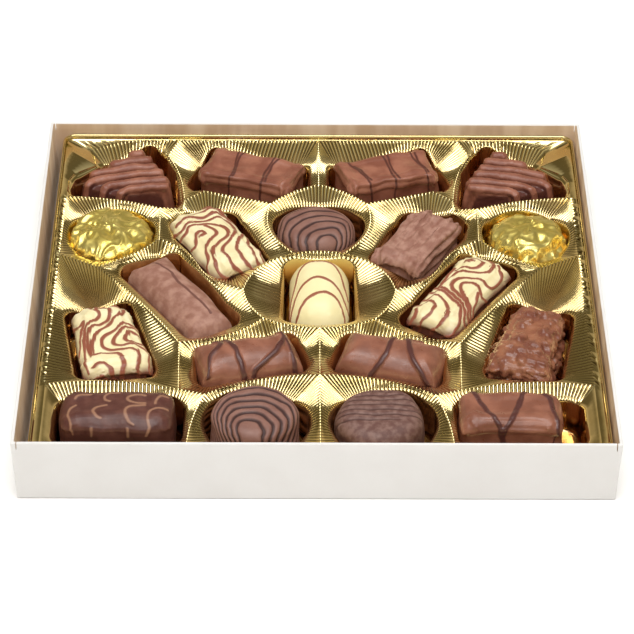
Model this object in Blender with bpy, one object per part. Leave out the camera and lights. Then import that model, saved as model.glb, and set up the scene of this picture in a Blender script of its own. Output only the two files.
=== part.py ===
"""Box of chocolate pralines: an open card carton, a thin gold tray and its twenty pralines.

Sizes and places are millimetres in the tables below, and every mesh is made in metres.
+Z is up, +Y is the back, and the origin is the middle of the carton's underside.
"""
import math
import random
from dataclasses import dataclass

import bmesh
import bpy
from mathutils import Matrix, Vector

MM = 0.001
TOUCH_GAP = 0.3                  # kept between pieces that rest on each other

# Carton: a square base, walls of folded card, side walls that lean out a little
BASE = 210.0
HEIGHT = 24.3
SIDE_LEAN = 1.3
CARD = 0.6
WALL = 2 * CARD
SLIT_WIDTH = 0.8
SLIT_DEPTH = 3.0

# Tray: one thin formed sheet, which has slid a little to the right and to the back
TRAY_MIDDLE = Vector((1.3, 1.0))
TRAY_SIDE = 205.0
TRAY_CORNER = 5.0
TRAY_SKIN = 0.5
FLOOR_Z = CARD + TOUCH_GAP + TRAY_SKIN
CREST_Z = 18.0
BEAD_Z = 20.0
SKIRT_Z = 14.5
BORDER_INSET = 1.6
UPPER_RIM = ((BORDER_INSET, CREST_Z), (1.2, BEAD_Z), (0.4, BEAD_Z), (0.0, BEAD_Z - 0.4), (0.0, SKIRT_Z))
LOWER_RIM = ((BORDER_INSET, CREST_Z - TRAY_SKIN), (TRAY_SKIN, CREST_Z - TRAY_SKIN), (TRAY_SKIN, SKIRT_Z))
FUNNEL_SLOPE = 0.40              # fall of a pocket's sloping border for each mm of its width
LEAST_FALL = 0.6
WELL_DRAFT = 0.9                 # how far a well's wall leans in by its floor
CREST_STEP = 9.0                 # longest straight stretch of a curved crest

# Corners of the crest lines on the tray's left half, from the tray's middle.
# W, S and N lie on the west, south and north borders, the others between pockets.
CORNERS = {
    "W1": (-98.8, 59.3), "W2": (-98.8, 75.0), "W3": (-94.0, 80.5), "N1": (-91.2, 92.0),
    "N2": (-73.0, 100.4), "N3": (-56.0, 100.4), "N4": (0.0, 100.4),
    "W4": (-98.8, 19.5), "W5": (-98.8, -63.0), "SW": (-98.8, -100.0),
    "S1": (-47.0, -100.0), "S2": (0.0, -100.0),
    "A": (-61.8, 51.5), "B": (-53.2, 50.5), "C": (-52.5, 57.5), "D": (-45.0, 63.7),
    "E": (-18.8, 55.0), "F": (0.0, 68.5), "G": (-9.5, 20.5), "H": (-28.6, -3.0),
    "I": (-46.0, 12.5), "J": (-61.3, 30.0), "K": (-83.8, 11.0), "L": (-21.0, -21.5),
    "M": (-51.5, -37.0), "N": (-50.8, -65.8), "O": (0.0, -28.0), "P": (0.0, -57.0),
    "Q": (-41.3, -68.8),
}

# Crest lines that are arcs: how far each swings out to the left of its way
SWINGS = {
    ("W1", "A"): 1.9, ("C", "N3"): 1.0, ("E", "F"): 1.6, ("E", "G"): -4.8,
    ("G", "H"): -4.3, ("H", "I"): 3.1, ("I", "J"): -2.3, ("H", "L"): -1.5, ("J", "K"): 1.5,
    ("K", "M"): 1.5, ("L", "M"): 3.8, ("L", "O"): -1.5, ("W5", "N"): 3.2, ("Q", "P"): 3.2,
    ("Q", "S1"): -1.3, ("N2", "N1"): -1.3, ("G", "G'"): 1.6,
}

# Pockets 1 to 4 are the back row and 17 to 20 the front row, counted from the left.
# Each gives its crest corners counter-clockwise (a dash marks a right-hand corner) and
# its well, which is the outline that a disc rolls round some middle points.
POCKETS = {
    1: (("W1", "A", "B", "C", "N3", "N2", "N1", "W3", "W2"),
        ((-93.0, 66.0), (-59.0, 58.5), (-67.8, 94.2), (-92.0, 72.0)), 5.0),
    2: (("N3", "C", "D", "E", "F", "N4"),
        ((-47.6, 71.5), (-19.5, 62.0), (-7.6, 70.5), (-7.6, 83.0), (-40.8, 94.8)), 4.0),
    5: (("W4", "K", "J", "A", "W1"), ((-79.8, 37.0),), 17.3),
    6: (("J", "I", "H", "G", "E", "D", "C", "B", "A"),
        ((-27.2, 23.0), (-37.2, 47.8), (-51.2, 43.4), (-39.6, 16.5)), 6.8),
    7: (("G", "G'", "E'", "F", "E"), ((-1.0, 42.0), (1.0, 42.0)), 17.3),
    10: (("K", "M", "L", "H", "I", "J"),
         ((-46.5, -25.2), (-35.0, -17.5), (-57.2, 18.5), (-70.0, 11.5)), 5.5),
    11: (("G", "H", "L", "O", "L'", "H'", "G'"),
         ((-7.8, -15.5), (7.8, -15.5), (7.8, 13.6), (-7.8, 13.6)), 6.0),
    13: (("W4", "W5", "N", "M", "K"),
         ((-89.0, -17.5), (-82.0, -52.0), (-66.0, -48.5), (-75.0, -14.0)), 6.0),
    14: (("M", "N", "Q", "P", "O", "L"),
         ((-40.0, -54.2), (-9.0, -47.0), (-12.2, -33.2), (-41.2, -41.6)), 5.0),
    17: (("W5", "SW", "S1", "Q", "N"),
         ((-87.5, -89.5), (-55.0, -89.5), (-55.0, -74.0), (-87.5, -74.0)), 7.0),
    18: (("Q", "S1", "S2", "P"), ((-24.4, -80.8), (-20.8, -80.8)), 17.6),
}
WELD = 0.01
TURN_STEP = math.radians(24.0)   # coarsest step round a well's corners
CORNER_STEP = math.radians(45.0)  # and round the tray's own corners

# Pralines
PRALINE_Z = FLOOR_Z + TOUCH_GAP
AROUND = 18                      # corners round a smooth praline
FOOT_HEIGHT = 1.2
FOOT_INSET = 0.5
MILK, DARK, PALE, IVORY, GOLD_FOIL = "milk", "dark", "pale", "ivory", "foil"

# What a praline's upper edges look like: the powers with which its length, its width and
# its height follow the angle from foot to top (small is boxy, 1 is a circle's arch)
ROUND_TOP = (0.30, 0.30, 0.55)
BOX_TOP = (0.16, 0.26, 0.55)
LOG_TOP = (0.10, 0.80, 0.95)
SOFT_LOG_TOP = (0.22, 0.50, 0.75)
FOIL_TOP = (0.50, 0.50, 0.70)
ROUND, SOFT_BAR, BAR, SHARP_BAR = 2.0, 4.5, 5.0, 7.0     # squareness of a plan outline
ROWS = (0.0, 34.0, 57.0, 76.0)   # angles of the rings between foot and top
SIDE_ROWS = (0.0, 34.0)
LUMP_ROWS = (0.0, 22.0, 42.0, 58.0, 76.0)
LUMP_DEPTH = 0.8
FOIL_ROWS = (0.0, 30.0, 50.0, 66.0, 80.0)
CRUMPLE = 0.7

# Ridged tops: curved ridges run round a point near the edge, given in shares of the size
ARC_FOCUS = (0.22, -0.26)
ARCH_FOCUS = (0.0, -0.30)
CURVED_RIDGE = 0.7
CURVED_RIDGES = 4
DOME_FALL = 2.4
RIM_SHARE = 0.90

# Straight ridges: pitch, height, and sections to a ridge
ROPES = (4.9, 1.3, 3)
FURROWS = (3.6, 0.7, 2)
BARK = (3.4, 0.9, 2)
END_CUT = 0.25                   # pitches left off at the front and at the back
END_SHARE = 0.125                # share of the width over which the body falls away
END_FALL = 2.0
SHOULDER, END_SHOULDER = 0.90, 0.80
SHOULDER_INSET = 0.6
CROWN_INSET = 3.0
LEAST_HALF = 0.3
ROPED_TRIANGLE = ((-0.431, -0.061), (0.292, -0.318), (0.153, 0.379))
ROPED_RADIUS = 5.0
ROPED_STEP = math.radians(30.0)


@dataclass(frozen=True)
class Praline:
    """One sweet: its form, its place from the tray's middle, its turn in degrees, its size."""
    number: int
    form: str
    place: tuple
    turn: float
    size: tuple
    colour: str


PRALINES = (
    Praline(1, "ropes", (-74.5, 76.3), 9.0, (36.0, 33.0, 16.8), MILK),
    Praline(2, "bar", (-27.5, 80.8), -20.0, (37.0, 20.0, 17.0), MILK),
    Praline(3, "bar", (27.9, 81.0), 17.0, (37.0, 20.0, 17.0), MILK),
    Praline(4, "ropes", (74.2, 76.2), -9.0, (36.0, 33.0, 16.8), MILK),
    Praline(5, "foil", (-79.8, 37.4), 0.0, (31.0, 31.0, 17.2), GOLD_FOIL),
    Praline(6, "bar", (-39.7, 31.8), -62.0, (38.5, 20.6, 17.4), IVORY),
    Praline(7, "arcs", (-1.2, 42.2), 0.0, (30.4, 30.4, 16.8), DARK),
    Praline(8, "bark", (39.2, 32.6), 61.0, (37.5, 20.0, 17.4), PALE),
    Praline(9, "foil", (80.7, 37.4), 0.0, (29.5, 29.5, 17.0), GOLD_FOIL),
    Praline(10, "soft_log", (-52.5, -3.0), -58.0, (49.5, 18.5, 17.0), PALE),
    Praline(11, "log", (0.0, -0.2), 90.0, (37.0, 22.5, 17.3), IVORY),
    Praline(12, "bar", (51.9, -3.6), 59.5, (46.0, 20.0, 17.0), IVORY),
    Praline(13, "bar", (-78.3, -32.8), -76.0, (41.0, 21.5, 17.4), IVORY),
    Praline(14, "log", (-26.0, -43.8), 15.0, (36.0, 20.0, 17.4), MILK),
    Praline(15, "log", (25.8, -43.8), -15.0, (36.0, 20.0, 17.4), MILK),
    Praline(16, "lumps", (76.9, -32.6), 72.0, (41.0, 21.5, 17.0), MILK),
    Praline(17, "bar", (-72.3, -79.0), 0.0, (40.0, 21.0, 17.0), DARK),
    Praline(18, "arches", (-23.3, -80.6), 0.0, (31.0, 31.0, 16.8), DARK),
    Praline(19, "furrows", (21.2, -80.6), 3.0, (31.0, 31.0, 16.8), DARK),
    Praline(20, "bar", (67.7, -79.0), 0.0, (36.5, 21.0, 17.0), MILK),
)

FINISHES = {                     # base colour, roughness, metallic
    "card": ((0.75, 0.74, 0.73), 0.6, 0.0),
    "gold": ((0.78, 0.58, 0.18), 0.22, 1.0),
    MILK: ((0.22, 0.085, 0.055), 0.35, 0.0),
    DARK: ((0.11, 0.05, 0.04), 0.35, 0.0),
    PALE: ((0.30, 0.15, 0.10), 0.5, 0.0),
    IVORY: ((0.85, 0.75, 0.48), 0.35, 0.0),
    GOLD_FOIL: ((0.80, 0.62, 0.15), 0.25, 1.0),
}


def clear_scene():
    """Remove every object that the scene starts with."""
    for item in list(bpy.data.objects):
        bpy.data.objects.remove(item, do_unlink=True)


def finish(name):
    """Return the material of that name, made on its first use."""
    material = bpy.data.materials.get(name)
    if material is None:
        colour, roughness, metallic = FINISHES[name]
        material = bpy.data.materials.new(name)
        material.use_nodes = True
        shader = material.node_tree.nodes["Principled BSDF"]
        shader.inputs["Base Color"].default_value = (*colour, 1.0)
        shader.inputs["Roughness"].default_value = roughness
        shader.inputs["Metallic"].default_value = metallic
    return material


def mesh_object(name, bm, material):
    """Turn a bmesh in millimetres into a named object in metres."""
    bmesh.ops.scale(bm, vec=Vector((MM, MM, MM)), verts=bm.verts)
    mesh = bpy.data.meshes.new(name)
    bm.to_mesh(mesh)
    bm.free()
    mesh.materials.append(finish(material))
    item = bpy.data.objects.new(name, mesh)
    bpy.context.scene.collection.objects.link(item)
    return item


def smooth(item, degrees=40.0):
    """Shade an object smooth, and keep its edges above that angle sharp."""
    item.data.shade_smooth()
    item.data.set_sharp_from_angle(angle=math.radians(degrees))


# ---------------------------------------------------------------- rings and sheets

def add_ring(bm, points):
    """Add a vertex for each (x, y, z)."""
    return [bm.verts.new(point) for point in points]


def bridge(bm, outer, inner):
    """Join two rings of equal count, both counter-clockwise, facing up or outwards."""
    count = len(outer)
    for k in range(count):
        after = (k + 1) % count
        bm.faces.new((outer[k], outer[after], inner[after], inner[k]))


def zip_rings(bm, outer, inner, middle):
    """Join two rings of different counts, both counter-clockwise round one middle point."""
    def angle_of(vert):
        return math.atan2(vert.co.y - middle[1], vert.co.x - middle[0])

    def from_west(ring):
        first = min(range(len(ring)), key=lambda k: angle_of(ring[k]))
        turned = ring[first:] + ring[:first]
        return turned, [angle_of(vert) for vert in turned] + [angle_of(turned[0]) + 2 * math.pi]

    outer, outer_angles = from_west(outer)
    inner, inner_angles = from_west(inner)
    i = j = 0
    while i < len(outer) or j < len(inner):
        a, b = outer[i % len(outer)], inner[j % len(inner)]
        if j == len(inner) or (i < len(outer) and outer_angles[i + 1] <= inner_angles[j + 1]):
            i += 1
            bm.faces.new((a, outer[i % len(outer)], b))
        else:
            j += 1
            bm.faces.new((a, inner[j % len(inner)], b))


def box_ring(half_x, half_y, z):
    """Return the corners of a level rectangle, counter-clockwise from the front left."""
    return [(-half_x, -half_y, z), (half_x, -half_y, z), (half_x, half_y, z), (-half_x, half_y, z)]


def rolled_outline(middles, radius, step):
    """Return the outline that a disc's edge draws as it rolls round some middle points.

    One point gives a circle, three a rounded triangle and four a rounded rectangle.
    """
    middles = [Vector(middle) for middle in middles]
    count = len(middles)
    outline = []
    for k, middle in enumerate(middles):
        if count == 1:
            start, sweep = 0.0, 2 * math.pi
        else:
            way_in = middle - middles[k - 1]
            way_out = middles[(k + 1) % count] - middle
            start = math.atan2(way_in.y, way_in.x) - math.pi / 2
            sweep = (math.atan2(way_out.y, way_out.x) - math.pi / 2 - start) % (2 * math.pi)
        steps = max(2, round(sweep / step))
        for j in range(steps if count == 1 else steps + 1):
            angle = start + sweep * j / steps
            outline.append(middle + radius * Vector((math.cos(angle), math.sin(angle))))
    return outline


# ---------------------------------------------------------------- carton

def make_carton():
    """Fold up the open carton, with a slit beside each side wall's ends."""
    half = BASE / 2
    top = half + SIDE_LEAN
    bm = bmesh.new()
    rings = [add_ring(bm, ring) for ring in (
        box_ring(half, half, 0.0),
        box_ring(top, half, HEIGHT),
        box_ring(top - WALL, half - WALL, HEIGHT),
        box_ring(half - WALL, half - WALL, CARD))]
    for outer, inner in zip(rings, rings[1:]):
        bridge(bm, outer, inner)
    bm.faces.new(rings[-1])
    bm.faces.new(reversed(rings[0]))
    carton = mesh_object("carton", bm, "card")
    slits = make_slits(top - WALL)
    cut = carton.modifiers.new("slits", "BOOLEAN")
    cut.operation = "DIFFERENCE"
    cut.solver = "EXACT"
    cut.object = slits
    return carton


def make_slits(inner_top):
    """Return the cutter for the four slits, one object of four narrow blocks."""
    bm = bmesh.new()
    for side in (-1, 1):
        for end in (-1, 1):
            place = Vector((side * (inner_top - SLIT_WIDTH), end * (BASE / 2 - WALL / 2), HEIGHT))
            size = Vector((SLIT_WIDTH, 2 * WALL, 2 * SLIT_DEPTH))
            bmesh.ops.create_cube(bm, size=1.0, matrix=Matrix.LocRotScale(place, None, size))
    slits = mesh_object("slit_cutter", bm, "card")
    slits.hide_render = True
    slits.display_type = "WIRE"
    return slits


# ---------------------------------------------------------------- tray

def corner_point(name):
    """Return a crest corner; a dash marks the mirror image of a left-hand one."""
    u, v = CORNERS[name.rstrip("'")]
    return Vector((-u if name.endswith("'") else u, v))


def swing_of(start, end):
    """Return how far the crest between two corners swings to the left of its way."""
    for first, second, sign in ((start, end, 1), (end, start, -1)):
        if (first, second) in SWINGS:
            return sign * SWINGS[(first, second)]
        mirrored = (first.rstrip("'"), second.rstrip("'"))
        if "'" in first + second and mirrored in SWINGS:
            return -sign * SWINGS[mirrored]
    return 0.0


def crest_line(start, end):
    """Return the points along one crest from its first corner to just before its last."""
    begin, finish_point = corner_point(start), corner_point(end)
    chord = finish_point - begin
    across = Vector((-chord.y, chord.x)).normalized()
    swing = swing_of(start, end)
    steps = max(1, math.ceil(chord.length / CREST_STEP)) if swing else 1
    line = []
    for k in range(steps):
        share = k / steps
        line.append(begin + chord * share + across * swing * 4 * share * (1 - share))
    return line


def crest_ring(corners):
    """Return a pocket's whole crest line."""
    ring = []
    for start, end in zip(corners, corners[1:] + corners[:1]):
        ring.extend(crest_line(start, end))
    return ring


def middle_of(ring):
    """Return the middle of the box round a ring."""
    xs, ys = [p.x for p in ring], [p.y for p in ring]
    return Vector(((min(xs) + max(xs)) / 2, (min(ys) + max(ys)) / 2))


def distance_to_line(point, ring):
    """Return how far a point is from a closed line."""
    def gap_to(a, b):
        way = b - a
        share = max(0.0, min(1.0, (point - a).dot(way) / way.length_squared))
        return (a + way * share - point).length
    return min(gap_to(a, b) for a, b in zip(ring, ring[1:] + ring[:1]))


def add_pocket(bm, crest, middles, radius, skin):
    """Add one face of a pocket: a border that slopes from its crest, the well's wall and floor.

    The upper face has no skin. The lower face lies a skin's thickness behind it.
    """
    edge = rolled_outline(middles, radius + skin, TURN_STEP)
    foot = rolled_outline(middles, radius - WELL_DRAFT + skin, TURN_STEP)
    middle = middle_of(edge)

    def edge_height(point):
        width = distance_to_line(point, crest) + skin
        return CREST_Z - LEAST_FALL - FUNNEL_SLOPE * width - skin

    crest_verts = add_ring(bm, [(p.x, p.y, CREST_Z - skin) for p in crest])
    edge_verts = add_ring(bm, [(p.x, p.y, edge_height(p)) for p in edge])
    foot_verts = add_ring(bm, [(p.x, p.y, FLOOR_Z - skin) for p in foot])
    zip_rings(bm, crest_verts, edge_verts, middle)
    bridge(bm, edge_verts, foot_verts)
    bm.faces.new(foot_verts)


def mirrored(points):
    """Return points mirrored in the tray's middle line, still counter-clockwise."""
    return [Vector((-p[0], p[1])) for p in reversed(points)]


def rim_outline(inset):
    """Return the tray's rounded outline, that far inside its edge."""
    reach = TRAY_SIDE / 2 - TRAY_CORNER
    middles = ((-reach, -reach), (reach, -reach), (reach, reach), (-reach, reach))
    return rolled_outline(middles, TRAY_CORNER - inset, CORNER_STEP)


def add_tray_face(bm, rim, skin):
    """Add the tray's upper or lower face, and return its outermost ring."""
    for corners, middles, radius in POCKETS.values():
        crest = crest_ring(corners)
        add_pocket(bm, crest, middles, radius, skin)
        if corners_on_left(corners):
            add_pocket(bm, mirrored(crest), mirrored(middles), radius, skin)
    bmesh.ops.remove_doubles(bm, verts=bm.verts, dist=WELD)

    level = CREST_Z - skin
    border = [vert for vert in bm.verts if vert.is_boundary and abs(vert.co.z - level) < WELD]
    border.sort(key=lambda vert: math.atan2(vert.co.y, vert.co.x))
    rings = [add_ring(bm, [(p.x, p.y, z) for p in rim_outline(inset)]) for inset, z in rim]
    zip_rings(bm, rings[0], border, (0.0, 0.0))
    for inner, outer in zip(rings, rings[1:]):
        bridge(bm, outer, inner)
    return rings[-1]


def corners_on_left(corners):
    """Tell whether a pocket lies wholly on the left, and so has an opposite one."""
    return not any("'" in corner for corner in corners)


def make_tray():
    """Form the tray: twenty pockets, a flat border, a raised bead and a short skirt."""
    bm = bmesh.new()
    lower_edge = add_tray_face(bm, LOWER_RIM, TRAY_SKIN)
    bmesh.ops.reverse_faces(bm, faces=bm.faces)
    upper_edge = add_tray_face(bm, UPPER_RIM, 0.0)
    bridge(bm, lower_edge, upper_edge)
    tray = mesh_object("gold_tray", bm, "gold")
    tray.location = (TRAY_MIDDLE.x * MM, TRAY_MIDDLE.y * MM, 0.0)
    return tray


# ---------------------------------------------------------------- pralines

def signed_power(value, power):
    """Raise a number to a power and keep its sign."""
    return math.copysign(abs(value) ** power, value)


def plan_outline(length, width, squareness, count):
    """Return a flat outline: squareness 2 is an ellipse, and more is a rounded rectangle."""
    outline = []
    for k in range(count):
        angle = 2 * math.pi * (k + 0.5) / count
        outline.append(Vector((
            length / 2 * signed_power(math.cos(angle), 2 / squareness),
            width / 2 * signed_power(math.sin(angle), 2 / squareness))))
    return outline


def domed(size, top_powers, squareness, rows=ROWS):
    """Return the rings of a coated praline: a small foot, its sides and a soft top."""
    length, width, height = size
    outline = plan_outline(length, width, squareness, AROUND)
    foot_x, foot_y = 1 - 2 * FOOT_INSET / length, 1 - 2 * FOOT_INSET / width
    rings = [[(p.x * foot_x, p.y * foot_y, 0.0) for p in outline]]
    for row in rows:
        level = math.radians(row)
        share_x, share_y = math.cos(level) ** top_powers[0], math.cos(level) ** top_powers[1]
        z = FOOT_HEIGHT + (height - FOOT_HEIGHT) * math.sin(level) ** top_powers[2]
        rings.append([(p.x * share_x, p.y * share_y, z) for p in outline])
    return rings


def closed_stack(rings, tip):
    """Close a stack of rings, lowest first, with a flat foot and a point on top."""
    bm = bmesh.new()
    added = [add_ring(bm, ring) for ring in rings]
    bm.faces.new(reversed(added[0]))
    for lower, upper in zip(added, added[1:]):
        bridge(bm, lower, upper)
    top = bm.verts.new(tip)
    last = added[-1]
    for k, vert in enumerate(last):
        bm.faces.new((vert, last[(k + 1) % len(last)], top))
    return bm


def uneven(rings, seed, depth, drop):
    """Return rings with every point above the foot moved in, by up to a depth, and down."""
    chance = random.Random(seed)
    moved = [rings[0]]
    for ring in rings[1:]:
        points = []
        for x, y, z in ring:
            share = 1 - chance.uniform(0.0, depth) / max(math.hypot(x, y), AROUND * depth / 2)
            points.append((x * share, y * share, z - chance.uniform(0.0, drop)))
        moved.append(points)
    return moved


def bar_praline(praline):
    """Cast a bar with soft edges all round."""
    return closed_stack(domed(praline.size, BOX_TOP, SOFT_BAR), (0.0, 0.0, praline.size[2]))


def log_praline(praline):
    """Cast a half round log with flat ends."""
    return closed_stack(domed(praline.size, LOG_TOP, SHARP_BAR), (0.0, 0.0, praline.size[2]))


def soft_log_praline(praline):
    """Cast a half round log with soft ends."""
    return closed_stack(domed(praline.size, SOFT_LOG_TOP, BAR), (0.0, 0.0, praline.size[2]))


def lumps_praline(praline):
    """Cast a log whose coat covers chopped nuts."""
    rings = domed(praline.size, SOFT_LOG_TOP, SOFT_BAR, LUMP_ROWS)
    lumpy = uneven(rings, praline.number, 2 * LUMP_DEPTH, LUMP_DEPTH)
    return closed_stack(lumpy, (0.0, 0.0, praline.size[2]))


def foil_praline(praline):
    """Wrap a round sweet in foil that stands off it in flat creases."""
    rings = domed(praline.size, FOIL_TOP, ROUND, FOIL_ROWS)
    crumpled = uneven(rings, praline.number, CRUMPLE, CRUMPLE)
    return closed_stack(crumpled, (0.0, 0.0, praline.size[2]))


def curved_ridges(praline, focus_shares):
    """Cast a round sweet whose top carries curved ridges round a point near its edge."""
    length, width, height = praline.size
    focus = Vector((focus_shares[0] * length, focus_shares[1] * width))
    outline = plan_outline(length, width, ROUND, AROUND)
    rings = domed(praline.size, ROUND_TOP, ROUND, SIDE_ROWS)
    steps = 2 * CURVED_RIDGES
    for k in range(steps):
        share = RIM_SHARE * (1 - k / steps)
        fall = DOME_FALL * (1 - math.sqrt(math.cos(share * math.pi / 2)))
        lift = CURVED_RIDGE * (k % 2 - 1)
        rings.append([(*(p * share + focus * (1 - share)), height - fall + lift) for p in outline])
    return closed_stack(rings, (*focus, height))


def arcs_praline(praline):
    """Cast a round sweet with arcs round its front right."""
    return curved_ridges(praline, ARC_FOCUS)


def arches_praline(praline):
    """Cast a round sweet with arches over the middle of its front."""
    return curved_ridges(praline, ARCH_FOCUS)


def chord_of(outline, y):
    """Return where a level line crosses a convex outline: its left and right ends."""
    ends = []
    for a, b in zip(outline, outline[1:] + outline[:1]):
        if (a.y - y) * (b.y - y) <= 0 and a.y != b.y:
            ends.append(a.x + (b.x - a.x) * (y - a.y) / (b.y - a.y))
    return min(ends), max(ends)


def straight_ridges(outline, height, ridging):
    """Cast a body whose top and sides are ridged along X, as sections from front to back."""
    pitch, ridge, steps = ridging
    front = min(p.y for p in outline) + END_CUT * pitch
    back = max(p.y for p in outline) - END_CUT * pitch
    count = round((back - front) / pitch) * steps
    bm = bmesh.new()
    sections = []
    for k in range(count + 1):
        y = front + (back - front) * k / count
        left, right = chord_of(outline, y)
        half, middle = (right - left) / 2, (right + left) / 2
        swell = ridge * (1 - math.cos(2 * math.pi * k / steps)) / 2
        fullness = min(1.0, min(k, count - k) / count / END_SHARE)
        shoulder = height * (END_SHOULDER + (SHOULDER - END_SHOULDER) * fullness)
        crown = height - END_FALL * (1 - fullness)
        profile = [
            (half - FOOT_INSET, 0.0),
            (half, FOOT_HEIGHT),
            (half - SHOULDER_INSET + swell / 2, shoulder - ridge + swell),
            (half - CROWN_INSET + swell / 2, crown - ridge + swell)]
        profile = [(max(LEAST_HALF, x), z) for x, z in profile]
        ring = [(middle - x, y, z) for x, z in profile]
        ring += [(middle + x, y, z) for x, z in reversed(profile)]
        sections.append(add_ring(bm, ring))
    for before, after in zip(sections, sections[1:]):
        bridge(bm, before, after)
    bm.faces.new(reversed(sections[0]))
    bm.faces.new(sections[-1])
    return bm


def ropes_praline(praline):
    """Cast a rounded triangle that thick piped ropes cross; the right-hand one is mirrored."""
    length, width, height = praline.size
    middles = [Vector((x * length, y * width)) for x, y in ROPED_TRIANGLE]
    if praline.place[0] > 0:
        middles = mirrored(middles)
    return straight_ridges(rolled_outline(middles, ROPED_RADIUS, ROPED_STEP), height, ROPES)


def furrows_praline(praline):
    """Cast a round sweet with straight ridges across its top."""
    length, width, height = praline.size
    return straight_ridges(plan_outline(length, width, ROUND, AROUND), height, FURROWS)


def bark_praline(praline):
    """Cast a bar with rough ridges along it."""
    length, width, height = praline.size
    return straight_ridges(plan_outline(length, width, SOFT_BAR, AROUND), height, BARK)


FORMS = {
    "bar": bar_praline, "log": log_praline, "soft_log": soft_log_praline,
    "lumps": lumps_praline, "foil": foil_praline, "arcs": arcs_praline,
    "arches": arches_praline, "ropes": ropes_praline, "furrows": furrows_praline,
    "bark": bark_praline,
}


def make_pralines():
    """Set the twenty pralines down in their pockets."""
    for praline in PRALINES:
        item = mesh_object(f"praline_{praline.number:02d}", FORMS[praline.form](praline), praline.colour)
        smooth(item)
        spot = TRAY_MIDDLE + Vector(praline.place)
        item.location = (spot.x * MM, spot.y * MM, PRALINE_Z * MM)
        item.rotation_euler.z = math.radians(praline.turn)


clear_scene()
make_carton()
make_tray()
make_pralines()
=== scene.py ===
"""Looks of an open box of chocolate pralines: a white card carton, its ribbed gold tray, its sweets.

Each sub-assembly is a class that holds its sizes in millimetres, builds its meshes and dresses
them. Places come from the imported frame, and every finished mesh is in metres, in that frame.
"""
from __future__ import annotations

import logging
import math
from collections.abc import Callable, Iterator, Sequence
from contextlib import contextmanager
from dataclasses import dataclass, field
from enum import Enum

import bmesh
import bpy
import numpy as np
from mathutils import Matrix, Vector
from mathutils.bvhtree import BVHTree


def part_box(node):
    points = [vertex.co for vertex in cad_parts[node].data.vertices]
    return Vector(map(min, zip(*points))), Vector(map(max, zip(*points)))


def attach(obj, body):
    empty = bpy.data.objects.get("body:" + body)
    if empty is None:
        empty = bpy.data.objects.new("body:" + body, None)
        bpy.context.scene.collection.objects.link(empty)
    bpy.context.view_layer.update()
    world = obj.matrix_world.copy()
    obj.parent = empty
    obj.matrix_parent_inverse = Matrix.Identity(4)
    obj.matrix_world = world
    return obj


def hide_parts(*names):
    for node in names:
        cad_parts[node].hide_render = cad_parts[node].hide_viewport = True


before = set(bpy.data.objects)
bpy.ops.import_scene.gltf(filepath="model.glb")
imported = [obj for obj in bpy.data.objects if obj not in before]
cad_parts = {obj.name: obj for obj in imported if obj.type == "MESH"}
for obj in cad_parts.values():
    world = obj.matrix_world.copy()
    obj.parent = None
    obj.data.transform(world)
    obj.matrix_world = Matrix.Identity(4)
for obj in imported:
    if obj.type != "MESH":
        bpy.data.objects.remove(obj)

Colour = tuple[float, float, float]
Line = Sequence[tuple[float, float]]

MM = 0.001
log = logging.getLogger("pralines")


class Kind(Enum):
    """The elements that edit mode works on, each with its name in a mesh."""

    VERT = "verts"
    EDGE = "edges"
    FACE = "faces"


class Slot(Enum):
    """The frame's finishes."""

    CARD = "carton_card"
    GOLD = "gold_plastic"
    FOIL = "gold_foil"
    MILK = "milk_chocolate"
    DUSKY = "dusky_chocolate"
    PALE = "pale_chocolate"
    NUTTY = "nutty_chocolate"
    MARBLED = "marbled_chocolate"
    WHITE = "white_chocolate"


# ------------------------------------------------------------------ shader maths

@dataclass(frozen=True)
class Cloud:
    """A noise, in waves per metre, that is eased from 0 to 1 between two of its levels."""

    scale: float
    detail: float = 2.0
    low: float = 0.0
    high: float = 1.0
    stretch: tuple[float, float, float] | None = None    # how much finer it is along each axis


class Value:
    """A node's output; where it is a number, it takes Python's own operators."""

    def __init__(self, nodes: Nodes, socket: bpy.types.NodeSocket) -> None:
        """Wrap an output of one of the nodes."""
        self.nodes = nodes
        self.socket = socket

    def math(self, operation: str, other: Value | float) -> Value:
        """Return the result of an operation of the Math node on this value and another."""
        return self.nodes.node("ShaderNodeMath", {"operation": operation}, {0: self, 1: other})

    def __add__(self, other: Value | float) -> Value:
        """Return self + other."""
        return self.math("ADD", other)

    def __sub__(self, other: Value | float) -> Value:
        """Return self - other."""
        return self.math("SUBTRACT", other)

    def __mul__(self, other: Value | float) -> Value:
        """Return self * other."""
        return self.math("MULTIPLY", other)

    def step(self, low: float, high: float) -> Value:
        """Rise smoothly from 0 at low to 1 at high.

        Args:
            low: Where the rise starts.
            high: Where it ends.

        Returns:
            The eased value.
        """
        sockets = {"Value": self, "From Min": low, "From Max": high}
        return self.nodes.node("ShaderNodeMapRange", {"interpolation_type": "SMOOTHSTEP"}, sockets)


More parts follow.
